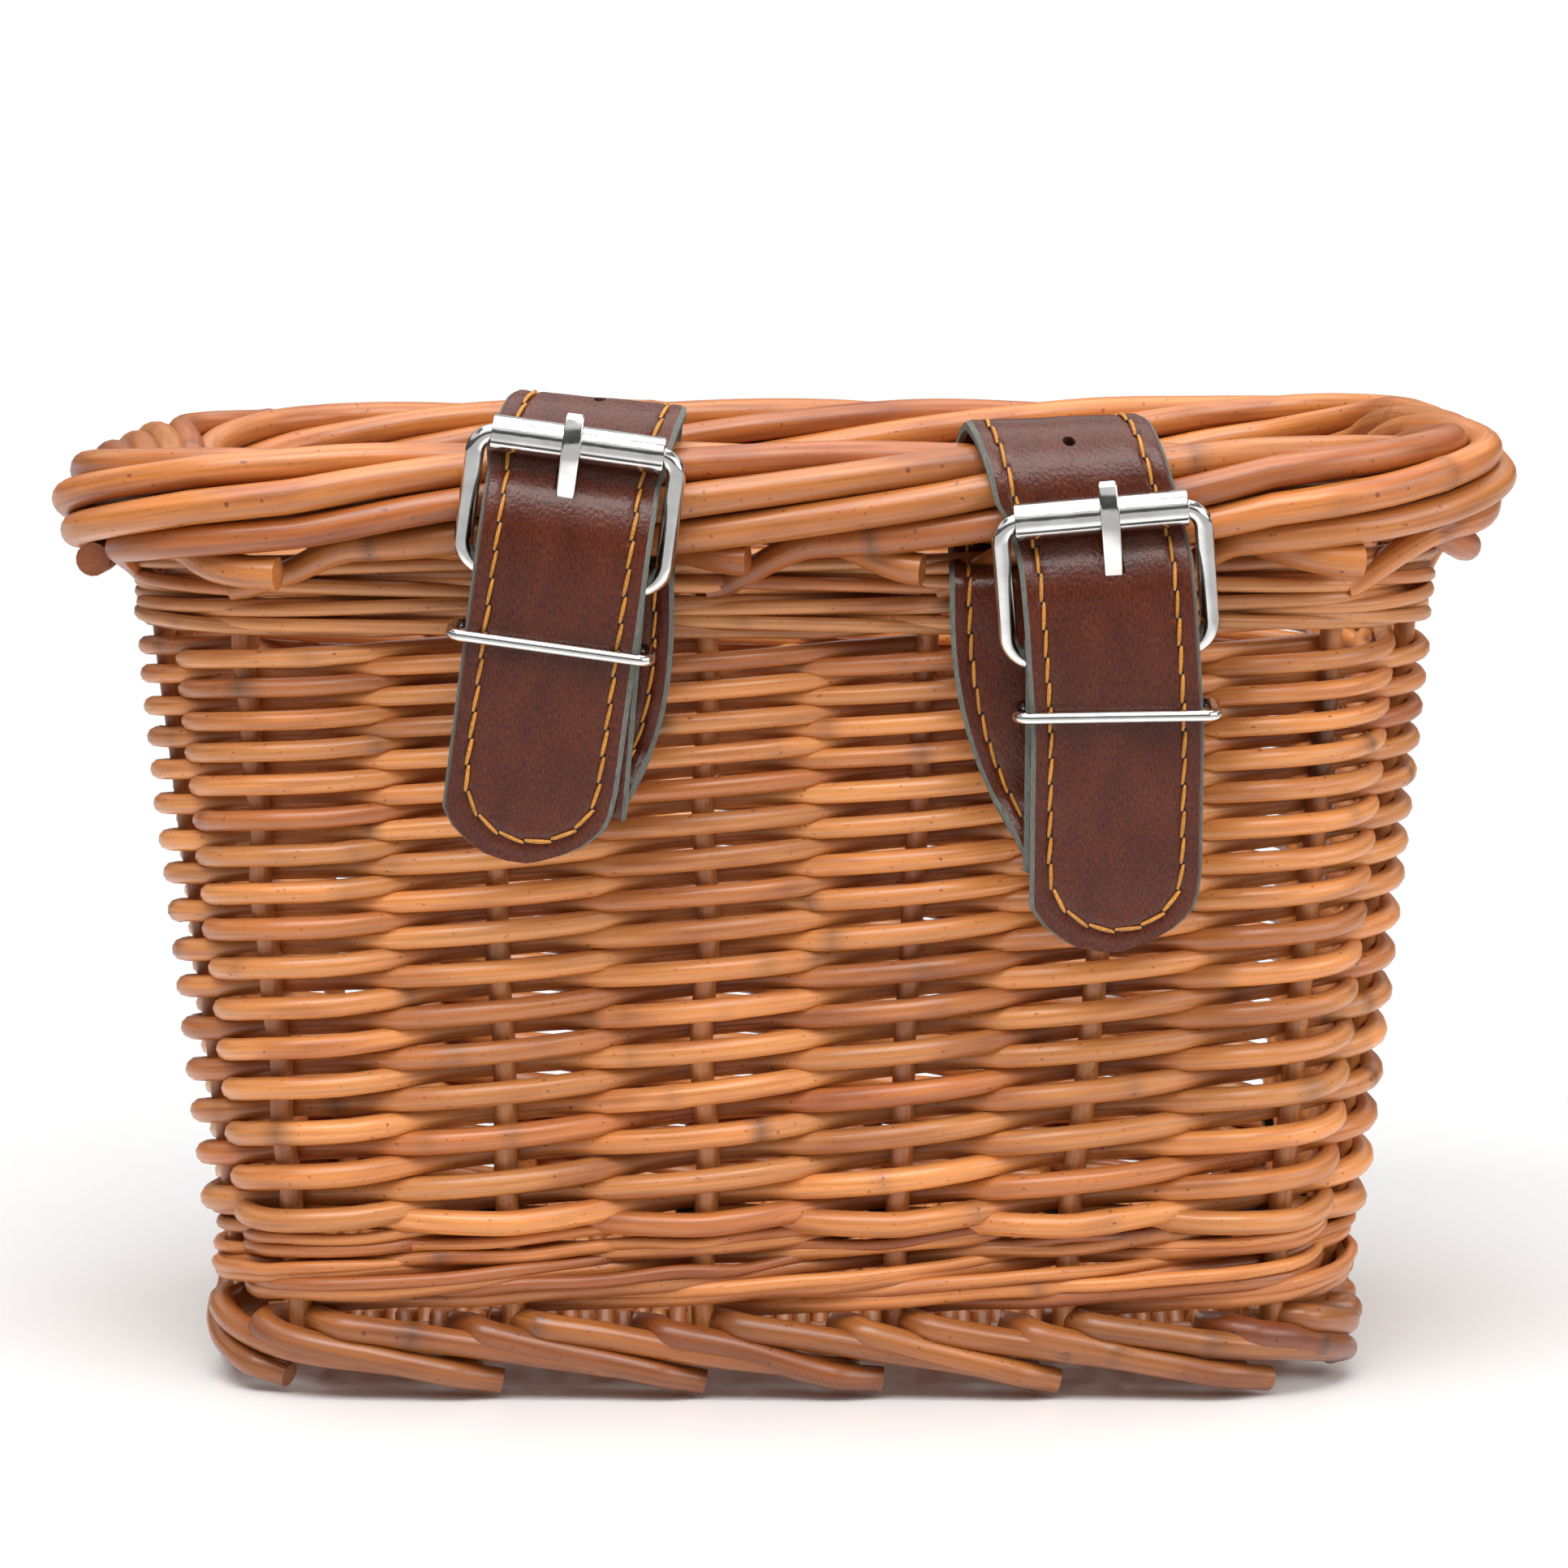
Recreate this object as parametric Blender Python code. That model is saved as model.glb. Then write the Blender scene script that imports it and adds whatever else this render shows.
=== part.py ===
"""Handlebar basket: a woven willow basket with two buckled leather straps hung on its front rim.

Sizes are in millimetres in the constants and metres in the meshes. +Z is up and the strapped side faces -Y.
"""

import math

import bpy
import bmesh
from mathutils import Matrix, Vector

MM = 0.001
CENTRE_Y = 5.0

WALL_LOW_Z, WALL_HIGH_Z = 14.5, 148.0
HALF_X_LOW, HALF_X_HIGH = 90.0, 104.0
HALF_Y_LOW, HALF_Y_HIGH = 60.0, 74.5
CORNER_LOW, CORNER_HIGH = 22.0, 28.0
CORNER_STEPS = 5

STAKE_R = 1.8
STAKE_Z = (11.2, 138.2)
STAKE_FIT = 0.35
FRONT_STAKES = ((-79.6, -87.5), (-44.5, -47.8), (-13.0, -12.2), (17.8, 23.9), (45.5, 57.6), (80.0, 89.0))
BACK_STAKES = ((-80.0, -89.0), (-47.0, -53.0), (-16.0, -18.0), (16.0, 18.0), (47.0, 53.0), (80.0, 89.0))
SIDE_STAKES = ((-37.9, -47.0), (-13.0, -16.0), (13.0, 16.0), (37.9, 47.0))

WEAVE_DEPTH = 5.0
WEAVE_VALLEY = 3.8
WEAVE_BANDS = (
    ("wale_bottom", 14.5, 28.5, 5),
    ("weave_lower", 28.8, 61.5, 8),
    ("weave_middle", 61.8, 94.5, 8),
    ("weave_upper", 94.8, 127.3, 8),
    ("wale_top", 127.6, 135.5, 3),
)

RIM_Z = 148.0
RIM_HALF_X, RIM_HALF_Y, RIM_CORNER = 109.8, 80.5, 33.0
ROPE_R = 6.5
STRAND_R = 3.25
STRAND_COUNT, STRAND_TURNS, STRAND_STEPS = 5, 4, 52
CORE_R = 2.5

FOOT_HALF_X, FOOT_HALF_Y, FOOT_CORNER = 92.0, 62.0, 24.0
BASE_HALF_X, BASE_HALF_Y, BASE_CORNER = 87.0, 57.0, 20.0
BASE_Z = (6.5, 12.5)
BASE_STICK_Y = (-40.0, -20.0, 0.0, 20.0, 40.0)
BASE_STICK_R = 1.9

STRAP_W, STRAP_T = 27.0, 2.0
LAYER = 2.3
HANG = math.radians(7.0)
BAR_R = 1.35
ROLLER_R, ROLLER_BORE, ROLLER_LENGTH = 2.9, 1.8, 26.7
HEEL_WRAP_R = 2.8
FRAME_HALF_W, FRAME_CORNER = 15.6, 3.2
PRONG_W, PRONG_T = 3.0, 1.2
SLOT_HALF_L = 4.2
KEEPER_R, KEEPER_HALF_W = 0.95, 15.75
SPARE_HOLE_R = 1.0
SPLIT_DROP, TAB_DROP = 12.4, 11.9

# Each strap's buckle layout, outwards and upwards from the rim rope's centre.
# sway: where the strap's middle lies along the rim at each height; tilt: its share of the buckle's lean there.
# wrap: angle round the rope, distance from its centre, sideways place and share of the lean.
STRAPS = {
    "left": {
        "x": -33.3,
        "lean": math.radians(8.0),
        "sway": ((-60.0, -41.65), (15.0, -31.2)),
        "tilt": ((-60.0, 1.0), (15.0, 1.0)),
        "wrap": ((40.0, 12.2, -32.2, 1.0), (90.0, 15.4, -28.9, 0.7), (120.0, 14.6, -29.6, 0.4),
                 (150.0, 12.2, -30.3, 0.1), (180.0, 11.3, -30.8, 0.0), (270.0, 11.3, -30.8, 0.0)),
        "roller": (13.2, 9.7),
        "heel": (10.2, -11.5),
        "bulge": ((11.2, 3.85), (13.6, 1.0), (14.8, -2.0), (15.35, -5.0), (15.45, -8.5)),
        "hole_angle": 88.0,
        "slot_at": (11.5, 3.8),
        "slot_tilt": math.radians(40.0),
        "prong_x": -0.9,
        "prong": ((12.3, -7.5), (11.9, -2.5), (11.75, 0.8), (12.5, 3.2), (15.85, 7.05), (16.75, 8.4), (17.0, 9.7),
                  (16.7, 12.3), (16.0, 14.3)),
        "keeper_drop": 10.1,
        "fold": -47.8,
        "fold_x": 1.8,
        "tip": -56.6,
    },
    "right": {
        "x": 49.05,
        "lean": math.radians(-5.0),
        "sway": ((-72.0, 52.0), (-34.0, 52.0), (-24.0, 51.25), (-16.0, 50.7), (-9.0, 50.0), (-4.0, 48.9), (2.0, 47.2)),
        "tilt": ((-40.0, 0.0), (-32.0, 0.2), (-24.0, 1.0), (2.0, 1.0)),
        "wrap": ((6.0, 11.3, 47.0, 1.0), (90.0, 12.3, 42.3, 0.45), (130.0, 12.0, 41.1, 0.2),
                 (180.0, 11.3, 39.6, 0.0), (270.0, 11.3, 39.6, 0.0)),
        "roller": (15.3, -1.3),
        "heel": (9.9, -23.5),
        "bulge": ((11.2, -1.5), (11.4, -3.7), (12.4, -6.0), (14.1, -8.9), (15.1, -12.5), (15.3, -17.0)),
        "hole_angle": 50.0,
        "slot_at": (14.05, -9.0),
        "slot_tilt": math.radians(22.6),
        "prong_x": 1.2,
        "prong": ((12.2, -18.0), (12.6, -13.5), (13.6, -11.3), (14.6, -9.6), (17.9, -5.6), (19.0, -1.6), (18.8, 1.6),
                  (18.1, 3.9)),
        "keeper_drop": 8.8,
        "fold": -57.5,
        "fold_x": -0.8,
        "tip": -70.5,
    },
}

WILLOW = (0.60, 0.33, 0.14, 1.0)
WILLOW_PALE = (0.66, 0.40, 0.19, 1.0)
WILLOW_DARK = (0.50, 0.25, 0.10, 1.0)
LEATHER = (0.12, 0.035, 0.022, 1.0)
NICKEL = (0.80, 0.79, 0.77, 1.0)


def clear_scene():
    for item in list(bpy.data.objects):
        bpy.data.objects.remove(item)


def set_material(body, colour, roughness, metallic):
    material = bpy.data.materials.new(body.name + "_finish")
    material.use_nodes = True
    shader = material.node_tree.nodes["Principled BSDF"]
    shader.inputs["Base Color"].default_value = colour
    shader.inputs["Roughness"].default_value = roughness
    shader.inputs["Metallic"].default_value = metallic
    material.diffuse_color = colour
    body.data.materials.append(material)


def loft(name, sections, closed, origin=(0.0, 0.0, 0.0)):
    """A body through sections, each a list of points in millimetres taken in the same order."""
    count = len(sections[0])
    spans = len(sections) if closed else len(sections) - 1
    faces = []
    for i in range(spans):
        low = i * count
        high = (i + 1) % len(sections) * count
        for j in range(count):
            k = (j + 1) % count
            faces.append((low + j, low + k, high + k, high + j))
    if not closed:
        faces.append(tuple(reversed(range(count))))
        faces.append(tuple(range(spans * count, (spans + 1) * count)))
    anchor = Vector(origin)
    points = [(Vector(p) - anchor) * MM for section in sections for p in section]
    mesh = bpy.data.meshes.new(name)
    mesh.from_pydata(points, [], faces)
    shape = bmesh.new()
    shape.from_mesh(mesh)
    bmesh.ops.recalc_face_normals(shape, faces=shape.faces)
    shape.to_mesh(mesh)
    shape.free()
    body = bpy.data.objects.new(name, mesh)
    body.location = (anchor + Vector((0.0, CENTRE_Y, 0.0))) * MM
    bpy.context.scene.collection.objects.link(body)
    return body


def shade_smooth(body, angle):
    body.data.shade_smooth()
    body.data.set_sharp_from_angle(angle=math.radians(angle))


def circle(radius, sides, turn=0.0):
    return [
        (radius * math.cos(turn + 2 * math.pi * i / sides), radius * math.sin(turn + 2 * math.pi * i / sides))
        for i in range(sides)
    ]


def frame_sections(frames, profile):
    """Places the flat profile on every frame, given as (point, first axis, second axis)."""
    return [[p + u * a + v * b for a, b in profile] for p, u, v in frames]


def cut(body, cutter):
    cutter.hide_render = True
    cutter.display_type = "WIRE"
    step = body.modifiers.new(cutter.name, "BOOLEAN")
    step.operation = "DIFFERENCE"
    step.solver = "EXACT"
    step.object = cutter


def mix(low, high, share):
    return low + (high - low) * share


def outline(half_x, half_y, corner, steps=CORNER_STEPS):
    """Corner points of a rounded rectangle, anticlockwise from the right end of the back."""
    points = []
    for turn in range(4):
        sx = 1.0 if turn in (0, 3) else -1.0
        sy = 1.0 if turn in (0, 1) else -1.0
        centre = Vector((sx * (half_x - corner), sy * (half_y - corner), 0.0))
        for step in range(steps + 1):
            angle = math.pi / 2 * (turn + step / steps)
            outward = Vector((math.cos(angle), math.sin(angle), 0.0))
            points.append((centre + corner * outward, outward))
    return points


def wall_size(z):
    share = (z - WALL_LOW_Z) / (WALL_HIGH_Z - WALL_LOW_Z)
    return (
        mix(HALF_X_LOW, HALF_X_HIGH, share),
        mix(HALF_Y_LOW, HALF_Y_HIGH, share),
        mix(CORNER_LOW, CORNER_HIGH, share),
    )


def wall_y(x, z):
    """How far the wall's middle lies from the long axis at x."""
    half_x, half_y, corner = wall_size(z)
    past = max(0.0, abs(x) - (half_x - corner))
    return half_y - corner + math.sqrt(max(0.0, corner**2 - past**2))


def stake_ends():
    """Foot and head of every stake, in millimetres."""
    ends = []
    low, high = STAKE_Z
    for side, rows in ((-1.0, FRONT_STAKES), (1.0, BACK_STAKES)):
        for bottom, top in rows:
            ends.append([Vector((x, side * wall_y(x, z), z)) for x, z in ((bottom, low), (top, high))])
    for side in (-1.0, 1.0):
        for bottom, top in SIDE_STAKES:
            ends.append([Vector((side * wall_size(z)[0], y, z)) for y, z in ((bottom, low), (top, high))])
    return ends


def rod(name, low, high, radius, sides, reach=0.0):
    along = (high - low).normalized()
    u = along.cross(Vector((0.0, 1.0, 0.0))).normalized()
    if u.length < 0.5:
        u = Vector((1.0, 0.0, 0.0))
    v = along.cross(u)
    frames = [(low - reach * along, u, v), (high + reach * along, u, v)]
    return loft(name, frame_sections(frames, circle(radius, sides, math.pi / sides)), False)


def join(name, bodies):
    shape = bmesh.new()
    for body in bodies:
        body.data.transform(Matrix.Translation(body.location))
        shape.from_mesh(body.data)
        bpy.data.objects.remove(body)
    mesh = bpy.data.meshes.new(name)
    shape.to_mesh(mesh)
    shape.free()
    whole = bpy.data.objects.new(name, mesh)
    bpy.context.scene.collection.objects.link(whole)
    return whole


def make_stakes():
    for i, (low, high) in enumerate(stake_ends(), 1):
        stake = rod(f"stake_{i:02d}", low, high, STAKE_R, 8)
        shade_smooth(stake, 50)
        set_material(stake, WILLOW, 0.45, 0.0)


def band_profile(low, high, courses):
    """Height and outward offset round a band's section: one rounded course of rods after another."""
    profile = []
    step = (high - low) / courses
    for i in range(courses):
        profile.append((low + step * i, WEAVE_VALLEY))
        profile.append((low + step * (i + 0.5), WEAVE_DEPTH))
    profile.append((high, WEAVE_VALLEY))
    inner = max(2, courses // 2)
    step = (high - low) / inner
    profile.append((high, -WEAVE_VALLEY))
    for i in reversed(range(inner)):
        profile.append((low + step * (i + 0.5), -WEAVE_DEPTH))
        profile.append((low + step * i, -WEAVE_VALLEY))
    return profile


def make_weave():
    for name, low, high, courses in WEAVE_BANDS:
        profile = band_profile(low, high, courses)
        rings = [[p + n * off + Vector((0, 0, z)) for p, n in outline(*wall_size(z))] for z, off in profile]
        sections = [list(section) for section in zip(*rings)]
        band = loft(name, sections, True)
        channels = [rod("channel", a, b, STAKE_R + STAKE_FIT, 6, 8.0) for a, b in stake_ends()]
        cut(band, join(name + "_channels", channels))
        shade_smooth(band, 75)
        set_material(band, WILLOW_PALE if name == "wale_top" else WILLOW, 0.5, 0.0)


def rim_frames(steps):
    """Evenly spaced points on the rim's centre line with the outward direction at each."""
    corners = outline(RIM_HALF_X, RIM_HALF_Y, RIM_CORNER, 12)
    lengths = [0.0]
    for i, (p, _) in enumerate(corners):
        lengths.append(lengths[-1] + (corners[(i + 1) % len(corners)][0] - p).length)
    frames = []
    for i in range(steps):
        at = lengths[-1] * i / steps
        k = max(j for j in range(len(corners)) if lengths[j] <= at)
        (p, n), (q, m) = corners[k], corners[(k + 1) % len(corners)]
        share = (at - lengths[k]) / (lengths[k + 1] - lengths[k])
        frames.append((p.lerp(q, share) + Vector((0, 0, RIM_Z)), n.lerp(m, share).normalized()))
    return frames


def make_rim():
    up = Vector((0.0, 0.0, 1.0))
    base = rim_frames(STRAND_STEPS)
    for strand in range(STRAND_COUNT):
        spine = []
        for i, (p, n) in enumerate(base):
            angle = 2 * math.pi * (STRAND_TURNS * i / STRAND_STEPS + strand / STRAND_COUNT)
            radial = math.cos(angle) * n + math.sin(angle) * up
            spine.append((p + ROPE_R * radial, radial))
        frames = []
        for i, (p, radial) in enumerate(spine):
            along = (spine[(i + 1) % len(spine)][0] - spine[i - 1][0]).normalized()
            side = along.cross(radial).normalized()
            frames.append((p, side.cross(along), side))
        border = loft(f"border_rod_{strand + 1}", frame_sections(frames, circle(STRAND_R, 6)), True)
        shade_smooth(border, 75)
        set_material(border, WILLOW_DARK, 0.42, 0.0)
    core = loft("border_core", frame_sections([(p, n, up) for p, n in base], circle(CORE_R, 6)), True)
    shade_smooth(core, 75)
    set_material(core, WILLOW_DARK, 0.5, 0.0)


def ring(name, half_x, half_y, corner, profile):
    sections = [[p + n * a + Vector((0, 0, z)) for a, z in profile] for p, n in outline(half_x, half_y, corner)]
    return loft(name, sections, True)


def make_foot():
    lower = [(-1.7, 0.0), (1.7, 0.0), (2.7, 1.1), (2.7, 3.4), (1.4, 4.8), (-1.4, 4.8), (-2.7, 3.4), (-2.7, 1.1)]
    foot = ring("foot_border_lower", FOOT_HALF_X, FOOT_HALF_Y, FOOT_CORNER, lower)
    upper = [(a + 0.4, z + 7.9) for a, z in circle(2.75, 8, math.pi / 8)]
    border = ring("foot_border_upper", FOOT_HALF_X, FOOT_HALF_Y, FOOT_CORNER, upper)
    for body in (foot, border):
        shade_smooth(body, 60)
        set_material(body, WILLOW_DARK, 0.45, 0.0)


def make_base():
    low, high = BASE_Z
    profile = [(0.0, low + 0.8), (0.0, high - 0.8), (-1.5, high), (-1.5, low)]
    inset = [[p + n * a + Vector((0, 0, z)) for p, n in outline(BASE_HALF_X, BASE_HALF_Y, BASE_CORNER)]
             for a, z in (profile[3], profile[0], profile[1], profile[2])]
    slab = loft("base_weave", inset, False)
    middle = (low + high) / 2
    ends = [(Vector((-86.0, y, middle)), Vector((86.0, y, middle))) for y in BASE_STICK_Y]
    cut(slab, join("base_channels", [rod("c", a, b, BASE_STICK_R + STAKE_FIT, 6, 4.0) for a, b in ends]))
    shade_smooth(slab, 40)
    set_material(slab, WILLOW, 0.5, 0.0)
    for i, (a, b) in enumerate(ends, 1):
        stick = rod(f"base_stick_{i}", a, b, BASE_STICK_R, 8)
        shade_smooth(stick, 50)
        set_material(stick, WILLOW, 0.45, 0.0)


class Strap:
    """One strap's layout: turns side-view places into points on its leaning plane."""

    def __init__(self, name, data):
        self.name = name
        self.data = data
        self.heel = Vector(data["heel"])
        self.down = Vector((-math.sin(HANG), -math.cos(HANG)))

    def axes(self, share=1.0):
        lean = self.data["lean"] * share
        across = Vector((math.cos(lean), 0.0, -math.sin(lean)))
        upward = Vector((math.sin(lean), 0.0, math.cos(lean)))
        return across, Vector((0.0, -1.0, 0.0)), upward

    def place(self, p, q, across=0.0):
        """The point p outwards and q upwards from the rope's centre, and across the strap."""
        side, out, up = self.axes()
        middle = Vector((self.data["x"], -RIM_HALF_Y, RIM_Z))
        return middle + p * out + q * up + across * side

    def front(self, drop):
        """The front layer's middle, that far below the heel bar."""
        return self.heel + Vector((HEEL_WRAP_R + LAYER, 0.0)) + drop * self.down

    def inner(self, drop):
        """The buckle end's middle, one layer behind the front."""
        return self.heel + Vector((HEEL_WRAP_R, 0.0)) + drop * self.down

    def strip(self, name, stations, origin):
        """A leather strip through stations (p, q, sideways place, share of the lean, half width)."""
        sections = []
        for i, (p, q, x, share, half) in enumerate(stations):
            ahead = stations[min(i + 1, len(stations) - 1)]
            behind = stations[max(i - 1, 0)]
            step = Vector((ahead[0] - behind[0], ahead[1] - behind[1])).normalized()
            side, out, up = self.axes(share)
            normal = (-step.y * out + step.x * up) * STRAP_T / 2
            middle = Vector((x, -RIM_HALF_Y - p, RIM_Z + q * up.z))
            reach = side * half
            sections.append([middle - reach - normal, middle + reach - normal,
                             middle + reach + normal, middle - reach + normal])
        return loft(name, sections, False, origin)

    def flat_stations(self, places, half=STRAP_W / 2):
        """Stations of the hanging leather, at side-view places."""
        return [(p, q, between(self.data["sway"], q)[0], between(self.data["tilt"], q)[0], half) for p, q in places]


def between(keys, at):
    """The values at a place along keys, each a place followed by its values."""
    if at <= keys[0][0]:
        return keys[0][1:]
    for low, high in zip(keys, keys[1:]):
        if at <= high[0]:
            share = (at - low[0]) / (high[0] - low[0])
            return tuple(mix(a, b, share) for a, b in zip(low[1:], high[1:]))
    return keys[-1][1:]


def on_circle(centre, radius, degrees):
    turn = math.radians(degrees)
    return centre[0] + radius * math.cos(turn), centre[1] + radius * math.sin(turn)


def arc(centre, radius, start, stop, steps):
    """Points on a circle from one angle to another, in degrees."""
    return [on_circle(centre, radius, mix(start, stop, i / steps)) for i in range(steps + 1)]


def wrap_place(data, angle):
    """Side-view place, sideways place, share of the lean and half width of the leather over the rim rope."""
    radius, x, share = between(data["wrap"], angle)
    _, ahead, _ = between(data["wrap"], angle + 5.0)
    slope = math.atan2(ahead - x, math.radians(5.0) * radius)
    return (*on_circle((0.0, 0.0), radius, angle), x, share, STRAP_W / 2 / math.cos(slope))


def wrap_stations(data):
    """Over the rim rope from its front, round the back and under it."""
    start = data["wrap"][0][0]
    angles = [mix(start, 90.0, i / 6) for i in range(6)] + [90.0 + 15.0 * i for i in range(13)]
    return [wrap_place(data, angle) for angle in angles]


def rear_stations(strap):
    """Down the rear layer from under the rope to the fold."""
    data = strap.data
    fold = data["fold"]
    low_r, slot_x, _ = data["wrap"][-1][1:]
    fold_p = strap.inner((strap.heel.y - fold - 1.3) / math.cos(HANG)).x
    places = arc((0.0, -low_r - 3.0), 3.0, 70.0, 0.0, 4)
    places += [(3.1, -24.0), (3.2, mix(-14.0, fold, 0.5)), (2.8, mix(-14.0, fold, 0.75)), (fold_p - 2.7, fold + 3.5)]
    places += arc((fold_p - 1.3, fold + 1.3), 1.3, 180.0, 360.0, 4)
    stations = []
    for p, q in places:
        share = min(1.0, max(0.0, (-14.0 - q) / (-16.0 - fold))) ** 2.4
        middle = between(data["sway"], q)[0]
        tilt = between(data["tilt"], q)[0] * share
        stations.append((p, q, mix(slot_x, middle + data["fold_x"], share), tilt, STRAP_W / 2))
    return stations


def loop_stations(strap):
    """From under the keeper up the front, over the rim, down to the fold and back up round the heel bar."""
    data = strap.data
    front = [strap.front(drop) for drop in (SPLIT_DROP, 6.0, 2.0, 0.0)] + list(reversed(data["bulge"]))
    behind = Vector((LAYER, 0.0))
    heel = [strap.inner(0.0), *arc(data["heel"], HEEL_WRAP_R, 30.0, 180.0, 5)]
    heel += [strap.heel - Vector((HEEL_WRAP_R - 0.5, 2.0))]
    heel += [strap.inner(drop) - behind for drop in (5.2, TAB_DROP)]
    return strap.flat_stations(front) + wrap_stations(data) + rear_stations(strap) + strap.flat_stations(heel)


def make_loop(strap):
    data = strap.data
    across, out, up = strap.axes()
    loop = strap.strip(f"{strap.name}_strap", loop_stations(strap), (0.0, -RIM_HALF_Y, RIM_Z))
    tilt = data["slot_tilt"]
    along = out * -math.sin(tilt) + up * math.cos(tilt)
    middle = strap.place(*data["slot_at"], data["prong_x"])
    slot = box(f"{strap.name}_prong_slot", middle, across * 2.2, along * SLOT_HALF_L, across.cross(along) * 2.6)
    middle = strap.place(data["heel"][0] + 0.6, data["heel"][1] + 0.4, data["prong_x"])
    notch = box(f"{strap.name}_heel_notch", middle, across * 2.2, out * 4.1, up * 4.4)
    p, q, x, _, _ = wrap_place(data, data["hole_angle"])
    middle = Vector((x, -RIM_HALF_Y - p, RIM_Z + q))
    normal = Vector((0.0, -p, q)).normalized()
    side = Vector((1.0, 0.0, 0.0))
    frames = [(middle + normal * d, side, normal.cross(side)) for d in (-2.2, 2.2)]
    hole = loft(f"{strap.name}_spare_hole", frame_sections(frames, circle(SPARE_HOLE_R, 10)), False)
    for cutter in (slot, notch, hole):
        cut(loop, cutter)
    shade_smooth(loop, 40)
    set_material(loop, LEATHER, 0.38, 0.0)


def box(name, middle, a, b, c):
    """A box given by its centre and three half edges."""
    corners = ((-1, -1), (1, -1), (1, 1), (-1, 1))
    return loft(name, [[middle + a * i + b * j + c * k for i, j in corners] for k in (-1, 1)], False)


def make_tail(strap):
    """The free end: straight sides and a rounded tip, hinged just under the keeper."""
    start = SPLIT_DROP + 0.5
    end = (strap.heel.y - strap.data["tip"]) / math.cos(HANG)
    shape = ((start, 13.5), (end - 24.0, 13.5), (end - 9.5, 13.5), (end - 5.0, 11.5), (end - 2.9, 9.0),
             (end - 1.2, 6.0), (end - 0.4, 3.4), (end, 1.6))
    stations = []
    for drop, half in shape:
        stations += strap.flat_stations([strap.front(drop)], half)
    pivot = strap.front(SPLIT_DROP + 0.2) + Vector((STRAP_T / 2, 0.0))
    tail = strap.strip(f"{strap.name}_strap_tail", stations, strap.place(*pivot))
    set_material(tail, LEATHER, 0.38, 0.0)


def wire_loop(name, middle, half_a, half_b, corner, a, b, radius, sides, steps):
    """A closed wire bent to a rounded rectangle on the axes a and b."""
    spine = [(p, n) for p, n in outline(half_a, half_b, corner, steps)]
    frames = []
    for p, n in spine:
        outward = a * n.x + b * n.y
        frames.append((middle + a * p.x + b * p.y, outward, a.cross(b)))
    body = loft(name, frame_sections(frames, circle(radius, sides, math.pi / sides)), True, middle)
    shade_smooth(body, 60)
    return body


def make_buckle(strap):
    data = strap.data
    across, out, up = strap.axes()
    top = Vector(data["roller"])
    middle = (top + strap.heel) / 2
    tall = top - strap.heel
    along = (out * tall.x + up * tall.y).normalized()
    frame = wire_loop(f"{strap.name}_buckle_frame", strap.place(*middle), FRAME_HALF_W, tall.length / 2,
                      FRAME_CORNER, across, along, BAR_R, 8, 3)
    set_material(frame, NICKEL, 0.16, 1.0)
    centre = strap.place(*top)
    facing = across.cross(along)
    walls = [(centre + across * ROLLER_LENGTH / 2 * s, along, facing) for s in (-1, 1, 1, -1)]
    radii = (ROLLER_R, ROLLER_R, ROLLER_BORE, ROLLER_BORE)
    rings = [[p + u * a + v * b for a, b in circle(r, 14)] for (p, u, v), r in zip(walls, radii)]
    roller = loft(f"{strap.name}_buckle_roller", [list(s) for s in zip(*rings)], True, centre)
    shade_smooth(roller, 50)
    set_material(roller, NICKEL, 0.14, 1.0)


def make_prong(strap):
    """A flat tongue curled round the heel bar, through the strap and over the roller."""
    data = strap.data
    across, out, up = strap.axes()
    spine = arc(data["heel"], 2.4, 135.0, 360.0, 9) + list(data["prong"])
    sections = []
    for i, (p, q) in enumerate(spine):
        ahead = spine[min(i + 1, len(spine) - 1)]
        behind = spine[max(i - 1, 0)]
        step = Vector((ahead[0] - behind[0], ahead[1] - behind[1])).normalized()
        normal = (-step.y * out + step.x * up) * PRONG_T / 2
        half = across * PRONG_W / 2
        middle = strap.place(p, q, data["prong_x"])
        sections.append([middle - half - normal, middle + half - normal, middle + half + normal,
                         middle - half + normal])
    prong = loft(f"{strap.name}_buckle_prong", sections, False, strap.place(*data["heel"], data["prong_x"]))
    shade_smooth(prong, 40)
    set_material(prong, NICKEL, 0.18, 1.0)


def make_keeper(strap):
    """The wire ring round the strap's two front layers, square to the strap where it sits."""
    drop = strap.data["keeper_drop"]
    p, q = (strap.front(drop) + strap.inner(drop) - Vector((LAYER, 0.0))) / 2
    x = between(strap.data["sway"], q)[0]
    across, out, up = strap.axes(between(strap.data["tilt"], q)[0])
    facing = out * math.cos(HANG) - up * math.sin(HANG)
    middle = Vector((x, -RIM_HALF_Y - p, RIM_Z + q * strap.axes()[2].z))
    keeper = wire_loop(f"{strap.name}_keeper", middle, KEEPER_HALF_W, 4.6, 1.9, across, facing, KEEPER_R, 6, 3)
    set_material(keeper, NICKEL, 0.2, 1.0)


def build():
    clear_scene()
    make_stakes()
    make_weave()
    make_rim()
    make_foot()
    make_base()
    for name, data in STRAPS.items():
        strap = Strap(name, data)
        make_loop(strap)
        make_tail(strap)
        make_buckle(strap)
        make_prong(strap)
        make_keeper(strap)


build()
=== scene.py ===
"""The looks of the willow handlebar basket: woven rods, leather straps and plated wire buckles.

Lengths inside the helpers are in millimetres; meshes are written in metres in the frame's own axes.
"""

import math

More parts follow.
